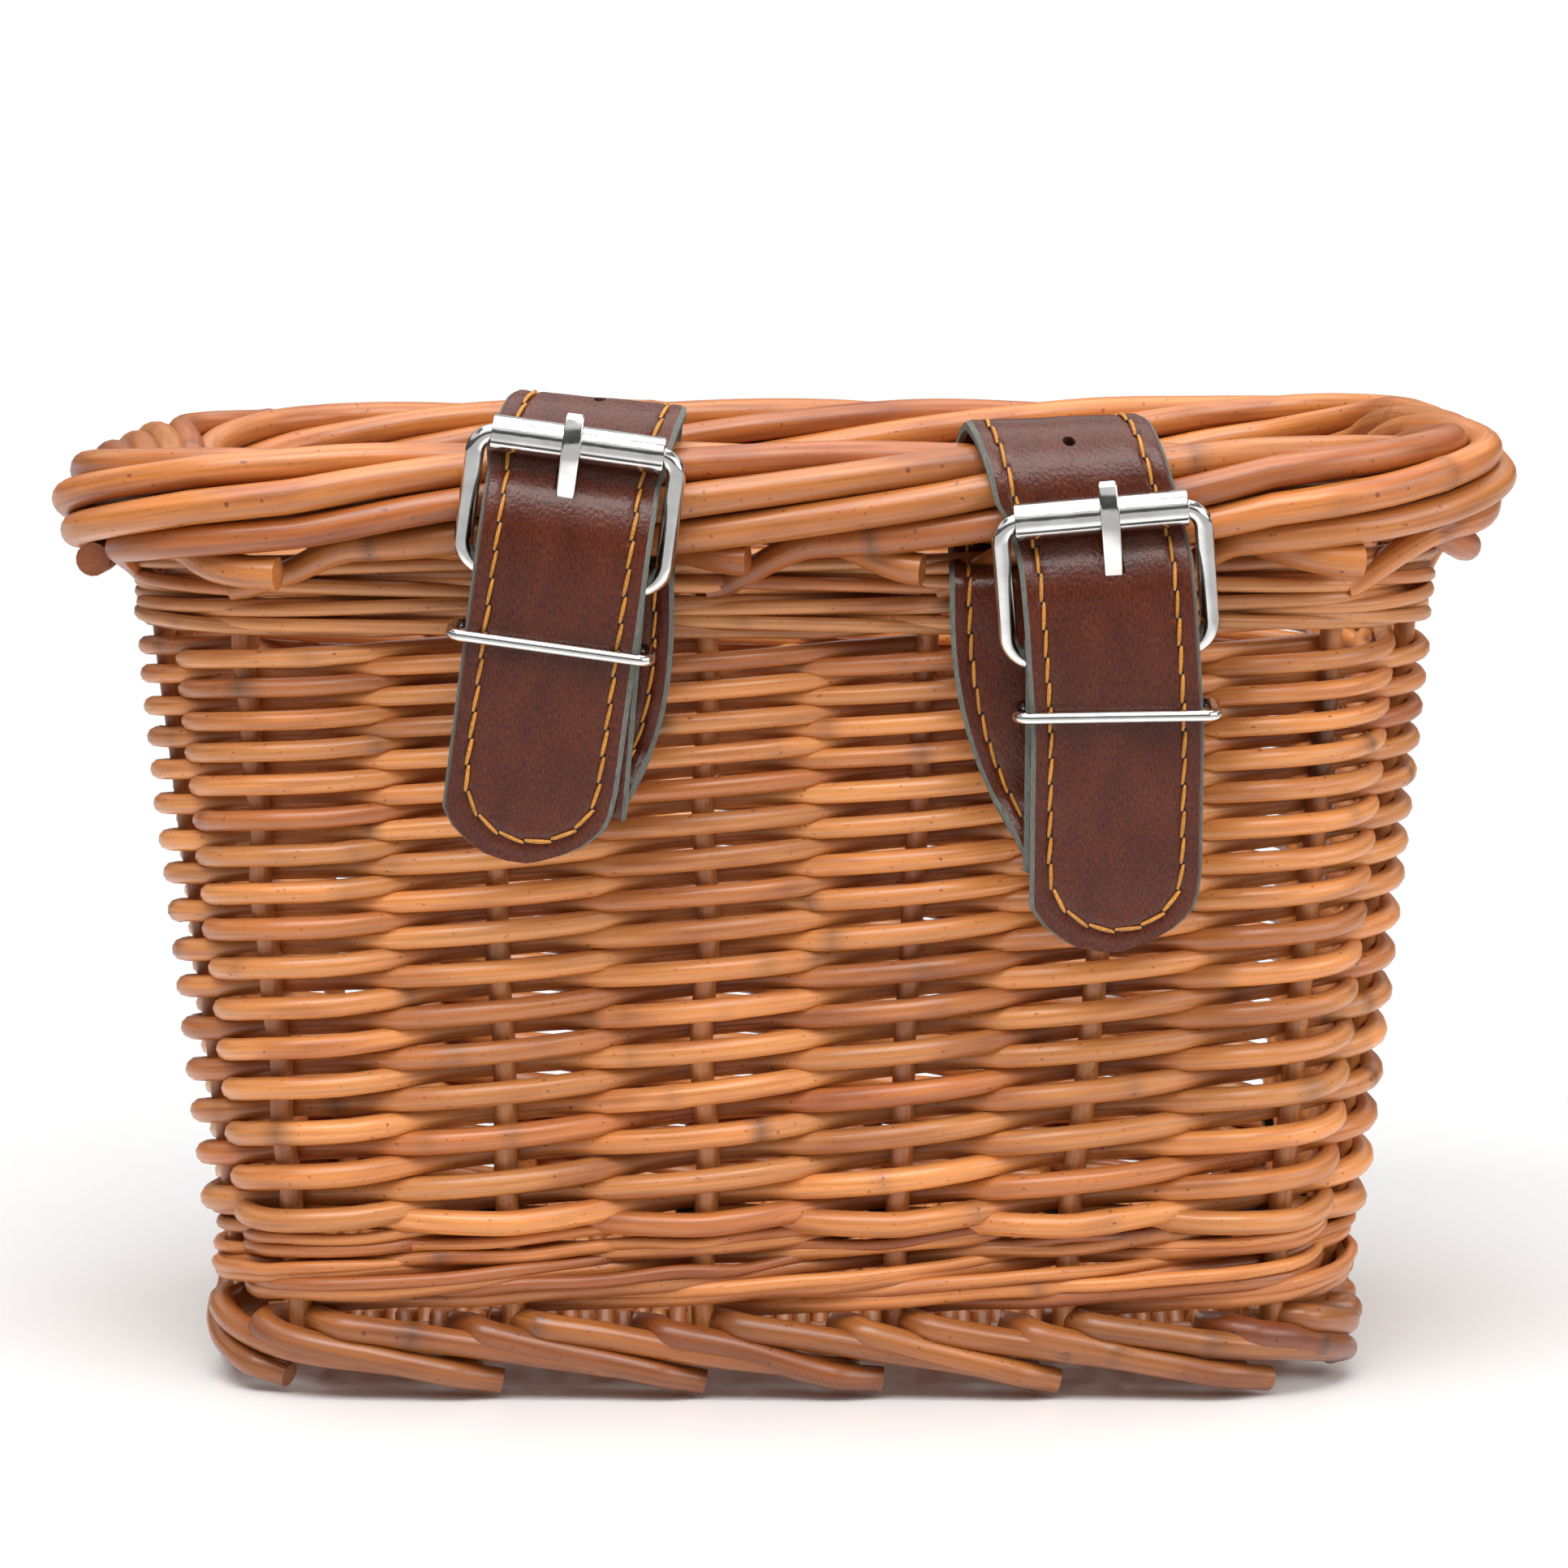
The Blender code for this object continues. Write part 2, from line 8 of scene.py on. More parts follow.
import bpy
import numpy as np
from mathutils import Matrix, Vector


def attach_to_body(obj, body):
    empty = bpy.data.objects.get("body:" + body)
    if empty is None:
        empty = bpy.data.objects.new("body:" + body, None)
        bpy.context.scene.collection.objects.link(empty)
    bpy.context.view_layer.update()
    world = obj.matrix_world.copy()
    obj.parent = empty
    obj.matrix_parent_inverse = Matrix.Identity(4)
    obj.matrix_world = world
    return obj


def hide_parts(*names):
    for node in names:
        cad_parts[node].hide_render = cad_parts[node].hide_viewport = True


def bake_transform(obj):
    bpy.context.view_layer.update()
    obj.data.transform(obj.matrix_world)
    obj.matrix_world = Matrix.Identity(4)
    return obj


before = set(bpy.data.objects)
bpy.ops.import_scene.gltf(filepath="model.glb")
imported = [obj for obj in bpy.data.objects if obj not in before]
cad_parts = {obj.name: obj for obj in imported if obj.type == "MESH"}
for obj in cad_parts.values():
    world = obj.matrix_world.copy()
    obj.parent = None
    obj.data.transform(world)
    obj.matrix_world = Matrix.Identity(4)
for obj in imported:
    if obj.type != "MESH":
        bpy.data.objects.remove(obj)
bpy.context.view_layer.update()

MM = 0.001
CENTRE_Y = 5.0

# Wall, from the bottom wale to the rim.
WALL_Z = (14.5, 148.0)
HALF_X = (90.0, 104.0)
HALF_Y = (60.0, 74.5)
CORNER = (22.0, 28.0)
FRONT_STAKES = ((-79.6, -87.5), (-44.5, -47.8), (-13.0, -12.2), (17.8, 23.9), (45.5, 57.6), (80.0, 89.0))
BACK_STAKES = ((-80.0, -89.0), (-47.0, -53.0), (-16.0, -18.0), (16.0, 18.0), (47.0, 53.0), (80.0, 89.0))
SIDE_STAKES = ((-37.9, -47.0), (-13.0, -16.0), (13.0, 16.0), (37.9, 47.0))
STAKE_COUNT = 20
STAKE_R = 1.8
STAKE_ENDS = (7.0, 137.5)
STAINED_STAKE, STAIN_Z = 5, (97.0, 122.0)

# Rim rope and foot.
RIM_Z = 148.0
RIM_SIZE = (109.8, 80.5, 33.0)
FOOT_SIZE = (92.2, 62.2, 24.2)

WILLOW_LIGHT = np.array((0.64, 0.252, 0.070))
WILLOW_MID = np.array((0.54, 0.182, 0.041))
WILLOW_DEEP = np.array((0.40, 0.110, 0.022))
WILLOW_KNOT = np.array((0.085, 0.035, 0.014))

rng = np.random.default_rng(27)


def mix(low, high, share):
    return low + (high - low) * share


def smooth(share):
    share = np.clip(share, 0.0, 1.0)
    return share * share * (3.0 - 2.0 * share)


# ---- the wall's plan

def outline_table():
    """Rows round the plan from the front left: a share, a corner's side of the middle, and a normal."""
    corner_share, long_share, short_share = 0.06, 0.30, 0.17
    rows = []
    at = 0.0
    for k, (sx, sy) in enumerate(((-1, -1), (1, -1), (1, 1), (-1, 1))):
        for step in range(13):
            angle = math.pi * (1.0 + 0.5 * k + 0.5 * step / 12)
            rows.append((at + corner_share * step / 12, sx, sy, math.cos(angle), math.sin(angle)))
        at += corner_share + (long_share if k % 2 == 0 else short_share)
    rows.append((at, *rows[0][1:]))
    table = np.array(rows)
    table[:, 0] /= at
    return table


OUTLINE = outline_table()


def plan(u, half_x, half_y, corner, off=0.0):
    """Points and outward normals at shares u of the way round a rounded rectangle."""
    u = np.mod(u, 1.0)
    sx, sy, nx, ny = (np.interp(u, OUTLINE[:, 0], OUTLINE[:, i]) for i in range(1, 5))
    size = np.hypot(nx, ny)
    nx, ny = nx / size, ny / size
    x = sx * (half_x - corner) + nx * (corner + off)
    y = sy * (half_y - corner) + ny * (corner + off)
    return x, y, nx, ny


def wall_size(z):
    share = (np.asarray(z, float) - WALL_Z[0]) / (WALL_Z[1] - WALL_Z[0])
    return mix(*HALF_X, share), mix(*HALF_Y, share), mix(*CORNER, share)


def stake_shares(level):
    """How far round the plan each stake stands, at its foot (0) or head (1), from the front left."""
    z = WALL_Z[level]
    u = np.linspace(0.0, 1.0, 4001)
    x, y, _, _ = plan(u, *wall_size(z))
    shares = []
    sides = (
        [(FRONT_STAKES[i][level], 0) for i in range(6)]
        + [(SIDE_STAKES[i][level], 1) for i in range(4)]
        + [(BACK_STAKES[5 - i][level], 2) for i in range(6)]
        + [(SIDE_STAKES[3 - i][level], 3) for i in range(4)]
    )
    half_y, half_x = wall_size(z)[1], wall_size(z)[0]
    for value, side in sides:
        if side in (0, 2):
            near = (y < -0.6 * half_y) if side == 0 else (y > 0.6 * half_y)
            miss = np.where(near, np.abs(x - value), 1e9)
        else:
            near = (x > 0.8 * half_x) if side == 1 else (x < -0.8 * half_x)
            miss = np.where(near, np.abs(y - value), 1e9)
        shares.append(u[int(np.argmin(miss))])
    shares = np.array(shares)
    for i in range(1, len(shares)):
        while shares[i] < shares[i - 1]:
            shares[i] += 1.0
    return shares


SHARES = [stake_shares(0), stake_shares(1)]


def share_at(t, z):
    """The plan share at t stakes along, for heights z."""
    t = np.asarray(t, float)
    level = np.clip((np.asarray(z, float) - WALL_Z[0]) / (WALL_Z[1] - WALL_Z[0]), 0.0, 1.0)
    turn, rest = np.divmod(t, STAKE_COUNT)
    knots = np.arange(STAKE_COUNT + 1)
    low = np.interp(rest, knots, np.append(SHARES[0], SHARES[0][0] + 1.0))
    high = np.interp(rest, knots, np.append(SHARES[1], SHARES[1][0] + 1.0))
    return mix(low, high, level) + turn


def on_wall(t, z, off):
    """Points in the wall at t stakes along, height z and off outwards from the stakes' line."""
    x, y, nx, ny = plan(share_at(t, z), *wall_size(z), off)
    return np.stack([x, y + CENTRE_Y, np.broadcast_to(z, x.shape)], axis=-1)


def on_ring(t, size, z_for_share, off, z):
    x, y, nx, ny = plan(share_at(t, z_for_share), *size, off)
    return np.stack([x, y + CENTRE_Y, np.broadcast_to(z, x.shape)], axis=-1)


# ---- rods

def new_object(name, points, faces, material, sharp):
    """A smooth mesh of points in millimetres, with edges over sharp degrees kept."""
    mesh = bpy.data.meshes.new(name)
    mesh.from_pydata((np.asarray(points, float) * MM).tolist(), [], faces)
    mesh.shade_smooth()
    mesh.set_sharp_from_angle(angle=math.radians(sharp))
    mesh.materials.append(material)
    body = bpy.data.objects.new(name, mesh)
    bpy.context.scene.collection.objects.link(body)
    return body


def paint(body, name, kind, values):
    """Writes a value to every point for the material to read."""
    field = "color" if kind == "FLOAT_COLOR" else "value" if kind == "FLOAT" else "vector"
    body.data.attributes.new(name, kind, "POINT").data.foreach_set(field, np.asarray(values, float).ravel())


def attach(piece, body, slot, *nodes):
    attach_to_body(piece, body)
    if nodes:
        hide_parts(*nodes)


def wobble(count, scale, waves=5):
    """A smooth random line of count values with about that spread."""
    x = np.linspace(0.0, 1.0, count)
    line = np.zeros(count)
    for wave in range(1, waves + 1):
        size = rng.normal()
        pace = rng.uniform(0.6, 1.4)
        line += size * np.sin(2 * np.pi * (wave * x * pace + rng.uniform()))
    return line * scale / math.sqrt(waves / 2)


class Rods:
    """Collects willow rods as tubes and writes them as one mesh."""

    def __init__(self):
        self.points, self.faces, self.tints, self.grains = [], [], [], []
        self.count = 0

    def add(self, path, radius, sides, tint, knots=0.6):
        """One rod along path; radius and tint may change along it. knots is how many knots per 100 mm."""
        path = np.asarray(path, float)
        n = len(path)
        radius = np.broadcast_to(np.asarray(radius, float), (n,)).copy()
        tint = np.broadcast_to(np.asarray(tint, float), (n, 3)).copy()
        along = np.concatenate([[0.0], np.cumsum(np.linalg.norm(np.diff(path, axis=0), axis=1))])
        for _ in range(rng.poisson(knots * along[-1] / 100.0)):
            at = rng.uniform(0.0, along[-1])
            near = np.exp(-(((along - at) / rng.uniform(0.9, 1.6)) ** 2))
            radius *= 1.0 + rng.uniform(0.04, 0.13) * near
            tint = tint + (WILLOW_KNOT - tint) * (near * rng.uniform(0.25, 0.8))[:, None]
        tangent = np.gradient(path, axis=0)
        tangent /= np.linalg.norm(tangent, axis=1)[:, None]
        normal = np.cross(tangent[0], (0.13, 0.21, 0.97))
        turn = 2 * np.pi * np.arange(sides) / sides
        cos, sin = np.cos(turn), np.sin(turn)
        seed = rng.uniform(0.0, 400.0)
        rings, grain = [], []
        for i in range(n):
            normal = normal - tangent[i] * normal.dot(tangent[i])
            normal /= np.linalg.norm(normal)
            other = np.cross(tangent[i], normal)
            ring = cos[:, None] * normal + sin[:, None] * other
            rings.append(path[i] + ring * radius[i])
            grain.append(np.stack([np.full(sides, along[i] + seed), cos * 1.5, sin * 1.5], axis=1))
        first = self.count
        ends = (path[:1] - tangent[0] * 0.1, path[-1:] + tangent[-1] * 0.1)
        self.points += [*rings, *ends]
        self.grains += [*grain, grain[0][:1], grain[-1][:1]]
        self.tints += [np.repeat(tint, sides, axis=0), tint[:1] * 1.2, tint[-1:] * 1.2]
        j = np.arange(sides)
        k = (j + 1) % sides
        for i in range(n - 1):
            low, high = first + i * sides, first + (i + 1) * sides
            self.faces += np.stack([low + j, low + k, high + k, high + j], axis=1).tolist()
        last = first + (n - 1) * sides
        self.faces += [(first + b, first + a, first + n * sides) for a, b in zip(j, k)]
        self.faces += [(last + a, last + b, first + n * sides + 1) for a, b in zip(j, k)]
        self.count += n * sides + 2

    def write(self, name, material):
        body = new_object(name, np.concatenate(self.points), self.faces, material, 62)
        colours = np.concatenate(self.tints)
        paint(body, "tint", "FLOAT_COLOR", np.c_[colours, np.ones(len(colours))])
        paint(body, "grain", "FLOAT_VECTOR", np.concatenate(self.grains))
        return body


def willow_tint(spread=0.5):
    """A rod's colour between the deep and the light willow."""
    share = float(np.clip(rng.normal(0.55, 0.22), 0.0, 1.0))
    base = mix(WILLOW_DEEP, WILLOW_LIGHT, share) if share < 0.35 else mix(WILLOW_MID, WILLOW_LIGHT, share)
    return base * rng.uniform(1.0 - 0.16 * spread, 1.0 + 0.12 * spread)


# ---- materials

def new_material(name):
    material = bpy.data.materials.new(name)
    material.use_nodes = True
    nodes, links = material.node_tree.nodes, material.node_tree.links
    return material, nodes, links, nodes["Principled BSDF"]


def attribute(nodes, name, output="Vector"):
    node = nodes.new("ShaderNodeAttribute")
    node.attribute_name = name
    return node.outputs[output]


def noise(nodes, links, vector, scale, detail, stretch=(1.0, 1.0, 1.0)):
    place = nodes.new("ShaderNodeMapping")
    place.inputs["Scale"].default_value = stretch
    links.new(vector, place.inputs["Vector"])
    texture = nodes.new("ShaderNodeTexNoise")
    texture.inputs["Scale"].default_value = scale
    texture.inputs["Detail"].default_value = detail
    links.new(place.outputs["Vector"], texture.inputs["Vector"])
    return texture.outputs["Fac"]


def ramp(nodes, links, factor, stops):
    """A colour by factor; a stop's colour may be one number, for a grey."""
    table = nodes.new("ShaderNodeValToRGB")
    while len(table.color_ramp.elements) < len(stops):
        table.color_ramp.elements.new(0.5)
    for element, (at, colour) in zip(table.color_ramp.elements, stops):
        element.position = at
        element.color = (*np.broadcast_to(colour, 3), 1.0)
    links.new(factor, table.inputs["Fac"])
    return table.outputs["Color"]


def blend_colour(nodes, links, mode, factor, a, b):
    node = nodes.new("ShaderNodeMix")
    node.data_type = "RGBA"
    node.blend_type = mode
    for socket, value in ((node.inputs[0], factor), (node.inputs[6], a), (node.inputs[7], b)):
        if hasattr(value, "links"):
            links.new(value, socket)
        else:
            socket.default_value = value
    return node.outputs[2]


def bump(nodes, links, shader, height, distance, strength):
    node = nodes.new("ShaderNodeBump")
    node.inputs["Strength"].default_value = strength
    node.inputs["Distance"].default_value = distance
    links.new(height, node.inputs["Height"])
    links.new(node.outputs["Normal"], shader.inputs["Normal"])


def willow_material(name, streak, roughness):
    """Varnished peeled willow: long fibres, darker stains and specks, each rod in its own tint."""
    material, nodes, links, shader = new_material(name)
    where = attribute(nodes, "grain")
    colour = attribute(nodes, "tint", "Color")
    fibre = noise(nodes, links, where, 1.0, 3.0, (0.06, 2.6, 2.6))
    stain = noise(nodes, links, where, 1.0, 2.0, (0.045, 0.35, 0.35))
    speck = noise(nodes, links, where, 1.0, 1.0, (0.9, 1.6, 1.6))
    streaks = ramp(nodes, links, fibre, ((0.28, streak), (0.72, (1.12, 1.1, 1.06))))
    stains = ramp(nodes, links, stain, ((0.28, (0.70, 0.56, 0.46)), (0.48, 1.0), (0.75, (1.1, 1.13, 1.12))))
    specks = ramp(nodes, links, speck, ((0.22, (0.45, 0.32, 0.25)), (0.31, 1.0)))
    for layer in (streaks, stains, specks):
        colour = blend_colour(nodes, links, "MULTIPLY", 1.0, colour, layer)
    links.new(colour, shader.inputs["Base Color"])
    rough = ramp(nodes, links, stain, ((0.3, roughness + 0.16), (0.7, roughness)))
    links.new(rough, shader.inputs["Roughness"])
    shader.inputs["Coat Weight"].default_value = 0.35
    shader.inputs["Coat Roughness"].default_value = 0.22
    bump(nodes, links, shader, fibre, 0.00012, 0.6)
    return material


WILLOW = willow_material("willow_rods", 0.74, 0.36)
WILLOW_BORDER = willow_material("willow_border_rods", 0.70, 0.33)
WILLOW_FINE = willow_material("willow_fine_rods", 0.78, 0.42)


def leather_material():
    """Dark red-brown split leather: fine streaks along it, a pebbled face and a grey cut edge."""
    material, nodes, links, shader = new_material("strap_leather")
    where = attribute(nodes, "hide")
    edge = attribute(nodes, "edge", "Fac")
    streak = noise(nodes, links, where, 1.0, 4.0, (1.1, 4.2, 1.0))
    cloud = noise(nodes, links, where, 1.0, 2.0, (0.10, 0.22, 0.1))
    pebble = noise(nodes, links, where, 1.0, 3.0, (1.5, 1.9, 1.0))
    fibre = noise(nodes, links, where, 1.0, 3.0, (0.8, 0.8, 7.0))
    colour = ramp(nodes, links, streak, ((0.30, (0.026, 0.0070, 0.0040)), (0.46, (0.068, 0.0135, 0.0055)),
                                         (0.72, (0.122, 0.024, 0.0080))))
    shade = ramp(nodes, links, cloud, ((0.30, (0.80, 0.76, 0.78)), (0.70, (1.16, 1.14, 1.08))))
    colour = blend_colour(nodes, links, "MULTIPLY", 1.0, colour, shade)
    cut = ramp(nodes, links, fibre, ((0.30, (0.055, 0.058, 0.050)), (0.55, (0.19, 0.195, 0.17)),
                                     (0.8, (0.34, 0.34, 0.30))))
    colour = blend_colour(nodes, links, "MIX", edge, colour, cut)
    links.new(colour, shader.inputs["Base Color"])
    rough = ramp(nodes, links, edge, ((0.2, 0.25), (0.8, 0.8)))
    links.new(rough, shader.inputs["Roughness"])
    shader.inputs["Specular IOR Level"].default_value = 0.34
    bump(nodes, links, shader, pebble, 0.00013, 0.9)
    return material


def thread_material():
    """Waxed golden thread, twisted along its length."""
    material, nodes, links, shader = new_material("waxed_thread")
    twist = noise(nodes, links, attribute(nodes, "grain"), 1.0, 2.0, (3.2, 1.1, 1.1))
    shade = ramp(nodes, links, twist, ((0.30, (0.50, 0.42, 0.34)), (0.65, (1.15, 1.12, 1.05))))
    colour = blend_colour(nodes, links, "MULTIPLY", 1.0, attribute(nodes, "tint", "Color"), shade)
    links.new(colour, shader.inputs["Base Color"])
    shader.inputs["Roughness"].default_value = 0.48
    bump(nodes, links, shader, twist, 0.00010, 0.8)
    return material


def nickel_material(name, roughness, scratch):
    """Bright nickel plate with fine rubbing marks."""
    material, nodes, links, shader = new_material(name)
    where = nodes.new("ShaderNodeTexCoord").outputs["Object"]
    mark = noise(nodes, links, where, 1.0, 4.0, scratch)
    cloud = noise(nodes, links, where, 260.0, 2.0)
    tone = ramp(nodes, links, cloud, ((0.3, (0.56, 0.555, 0.54)), (0.7, (0.70, 0.695, 0.68))))
    links.new(tone, shader.inputs["Base Color"])
    shader.inputs["Metallic"].default_value = 1.0
    rough = ramp(nodes, links, mark, ((0.35, roughness), (0.75, roughness + 0.12)))
    links.new(rough, shader.inputs["Roughness"])
    bump(nodes, links, shader, mark, 0.00002, 0.5)
    return material


LEATHER = leather_material()
THREAD = thread_material()
THREAD_GOLD = np.array((0.56, 0.24, 0.033))
# Near-black colour of the capsules laid in the stitch holes: painted shade inside the holes.
PAINTED_HOLE_SHADE = np.array((0.010, 0.006, 0.004))
NICKEL = nickel_material("nickel_wire", 0.06, (900.0, 900.0, 900.0))
NICKEL_ROLLED = nickel_material("nickel_sheet", 0.08, (260.0, 2600.0, 2600.0))


# ---- the basket

def stake_line(j, z):
    """The stake's middle at heights z."""
    return on_wall(np.full_like(z, float(j)), z, 0.0)


def make_stakes():
    for j in range(STAKE_COUNT):
        z = np.linspace(*STAKE_ENDS, 48)
        path = stake_line(j, z)
        path[:, 0] += wobble(len(z), 0.22)
        path[:, 1] += wobble(len(z), 0.15)
        rods = Rods()
        radius = mix(2.0, 1.75, (z - z[0]) / (z[-1] - z[0]))
        tint = willow_tint() * 0.92
        if j == STAINED_STAKE:
            dark = smooth((z - STAIN_Z[0]) / 4.0) * smooth((STAIN_Z[1] - z) / 5.0)
            tint = mix(np.tile(tint, (len(z), 1)), WILLOW_KNOT * 1.3, dark[:, None] * 0.85)
        rods.add(path, radius, 12, tint, knots=1.2)
        stake = rods.write(f"stake_rod_{j + 1:02d}", WILLOW)
        attach(stake, "basket", "willow_stakes", f"stake_{cad_stake(j):02d}")


def cad_stake(j):
    """The frame numbers its stakes front, back, left and right; these go round anticlockwise."""
    if j < 6:
        return j + 1
    if j < 10:
        return 17 + (j - 6)
    if j < 16:
        return 12 - (j - 10)
    return 16 - (j - 16)


TOP_WALE_Z, TOP_WALE_PITCH, TOP_WALE_ROUNDS = 126.4, 3.35, 4
RAND_LOW, RAND_PITCH, RAND_FALL, RAND_ROWS = 28.8, 3.8, 0.0235, 31.0


def make_side_weave():
    """French randing: a rod starts at every stake and climbs one course for each stake it passes."""
    rods = Rods()
    for start in range(STAKE_COUNT):
        n = np.linspace(-1.15, RAND_ROWS, 410)
        course = np.clip(n, 0.0, None)
        radius = mix(2.1, 1.52, course / RAND_ROWS)
        z = RAND_LOW + 0.6 + RAND_PITCH * course - RAND_FALL * course**2
        swing = np.cos(np.pi * n)
        out = (STAKE_R + radius * 0.92) * swing * (1.16 - 0.16 * swing**2)
        z = z + wobble(len(n), 0.16, 9)
        out = out + wobble(len(n), 0.10, 9)
        radius = radius * (1.0 + wobble(len(n), 0.018, 7))
        tint = np.zeros((len(n), 3))
        joins = np.sort(rng.uniform(0.0, RAND_ROWS, 3))
        for low, high in zip([-1.0, *joins], [*joins, 99.0]):
            part = (n >= low) & (n < high)
            tint[part] = willow_tint(1.2)
        for at in joins:
            tint = tint + (WILLOW_KNOT - tint) * (0.7 * np.exp(-(((n - at) / 0.02) ** 2)))[:, None]
        rods.add(on_wall(start + n, z, out), radius, 10, tint, knots=1.3)
    weave = rods.write("side_weave", WILLOW)
    attach(weave, "basket", "willow_weave", "weave_lower", "weave_middle", "weave_upper")


def wale_rod(rods, start, places, rise, thick, tint, ends=(1.0, 1.0)):
    """A fine rod over the stakes; places is its side of the wall at each half stake, 1 is outside."""
    t = np.linspace(0.0, (len(places) - 1) / 2, (len(places) - 1) * 6 + 1)
    depth = STAKE_R + thick * 0.95
    out = np.interp(t * 2.0, np.arange(len(places)), places) * depth
    kernel = np.ones(5) / 5.0
    out = np.convolve(np.pad(out, 2, "edge"), kernel, "valid") + wobble(len(t), 0.12, 8)
    z = np.interp(t, *rise) + wobble(len(t), 0.16, 8)
    radius = thick * mix(*ends, t / t[-1]) * (1.0 + wobble(len(t), 0.02))
    rods.add(on_wall(start + t, z, out), radius, 9, np.tile(tint, (len(t), 1)), knots=0.9)


def make_wales():
    """Below, two rods from every stake climb across the next five; above, three fine rods run round."""
    low = Rods()
    for start in range(STAKE_COUNT):
        for lift, thick, reach in ((0.0, 1.5, 1.0), (1.5, 1.15, 1.4)):
            places = np.array((-1.0, 0.0, 1.0, 1.05, 1.0, 0.0, -1.0, 0.0, 1.0, 0.0, -1.0)) * reach
            first = rng.uniform(13.9, 15.1) + lift
            rise = ((0.0, 5.0), (first, first + rng.uniform(12.6, 14.0)))
            wale_rod(low, start, places, rise, thick, willow_tint(1.6) * (0.86, 0.80, 0.74), (1.12, 0.78))
    piece = low.write("bottom_wale", WILLOW_FINE)
    attach(piece, "basket", "willow_weave", "wale_bottom")
    high = Rods()
    for start in range(3):
        for turn in range(TOP_WALE_ROUNDS):
            places = [(-1.0, 0.0, 1.0, 1.08, 1.0, 0.0)[i % 6] for i in range(2 * STAKE_COUNT + 3)]
            t = np.arange(0.0, STAKE_COUNT + 1.6, 0.5)
            lift = np.interp(np.mod(t, 3.0), (0.0, 0.5, 1.0, 2.0, 2.5, 3.0), (0.0, -1.0, -0.6, 0.6, 1.0, 0.0))
            z = TOP_WALE_Z + TOP_WALE_PITCH * (turn + t / STAKE_COUNT) + lift * (1.0 if turn % 2 else -1.0)
            tint = willow_tint(1.4) * (0.93, 0.98, 1.12)
            wale_rod(high, start + 12 + turn, places, (t, z), rng.uniform(1.1, 1.3), tint)
    piece = high.write("top_wale", WILLOW_FINE)
    attach(piece, "basket", "willow_top_wale", "wale_top")


RIM_ROPE_R, RIM_ROD_R, RIM_REACH = 6.75, 2.72, 7.0
RIM_TINT, FOOT_TINT = np.array((0.84, 0.73, 0.58)), np.array((0.54, 0.46, 0.37))
ROD_UNDER_STRAP = 14


def make_rim():
    """Each stake's top turns right, sweeps once round the rim under the next six and is cut below."""
    for j in range(STAKE_COUNT):
        rods = Rods()
        span = RIM_REACH + rng.uniform(-0.12, 0.22)
        t = np.linspace(0.0, span, 130)
        turn = math.radians(-98.0) + 2 * np.pi * t / RIM_REACH + wobble(len(t), 0.03)
        radial = RIM_ROPE_R + wobble(len(t), 0.09, 6)
        out = radial * np.cos(turn)
        z = RIM_Z + radial * np.sin(turn)
        leave = smooth(t / 0.5)
        out = mix(HALF_Y[1] - RIM_SIZE[1], out, leave)
        z = mix(133.5, z, leave ** 0.8)
        fall = smooth((t - (span - 0.45)) / 0.45)
        clear = 0.15 if j == ROD_UNDER_STRAP else 1.0  # the left strap swings past this rod's end
        z = z - fall * rng.uniform(2.2, 4.2) * clear
        x = on_ring(j + t, RIM_SIZE, RIM_Z, out, z)[:, 0]
        z = z + leave * 2.0 * np.sign(x) * (np.clip(np.abs(x) - 40.0, 0.0, None) / 70.0) ** 2
        out = out + fall * rng.uniform(2.5, 4.5) * clear
        radius = mix(2.0, RIM_ROD_R * rng.uniform(0.94, 1.02), smooth(t / 0.8))
        radius = radius * (1.0 + wobble(len(t), 0.02))
        tint = willow_tint(1.0) * RIM_TINT
        rods.add(on_ring(j + t, RIM_SIZE, RIM_Z, out, z), radius, 16, tint, knots=0.9)
        piece = rods.write(f"rim_rod_{j + 1:02d}", WILLOW_BORDER)
        attach(piece, "basket", "willow_border", *([f"border_rod_{j + 1}"] if j < 5 else []))
    core = Rods()
    t = np.linspace(0.0, 20.0, 200)
    core.add(on_ring(t, RIM_SIZE, RIM_Z, 0.0, RIM_Z), 3.6, 12, WILLOW_DEEP)
    piece = core.write("rim_core", WILLOW_BORDER)
    attach(piece, "basket", "willow_border", "border_core")


def make_foot():
    """Every stake's foot hooks out between its neighbours and runs down to the right in two rods."""
    lower, upper = Rods(), Rods()
    layers = ((lower, -0.33, 1.30, 12.3, 2.8, 2.5), (upper, -0.06, 1.90, 13.4, 4.3, 2.3))
    for j in range(STAKE_COUNT):
        for rods, lead, reach, top, low, thick in layers:
            t = np.linspace(lead, lead + reach, 46) + rng.uniform(-0.03, 0.03)
            share = np.linspace(0.0, 1.0, len(t))
            z = mix(top, low, share) + wobble(len(t), 0.14, 2)
            out = mix(-5.5, 1.9, smooth(share / 0.15)) - 2.6 * smooth((share - 0.8) / 0.2)
            z = z - 1.4 * (1.0 - smooth(share / 0.10))
            radius = thick * mix(1.06, 0.84, share)
            tint = willow_tint(1.2) * FOOT_TINT
            path = on_ring(j + t, FOOT_SIZE, WALL_Z[0], out, np.maximum(z, radius + 0.05))
            rods.add(path, radius, 14, tint, knots=1.6)
    pairs = ((lower, "foot_rods_lower", "foot_border_lower"), (upper, "foot_rods_upper", "foot_border_upper"))
    for rods, name, node in pairs:
        piece = rods.write(name, WILLOW_BORDER)
        attach(piece, "basket", "willow_border", node)


BASE_Z, BASE_HALF = 9.5, (85.0, 55.5)
BASE_STICKS = (-40.0, -20.0, 0.0, 20.0, 40.0)
BASE_RODS, BASE_TURN = 57, 2.6


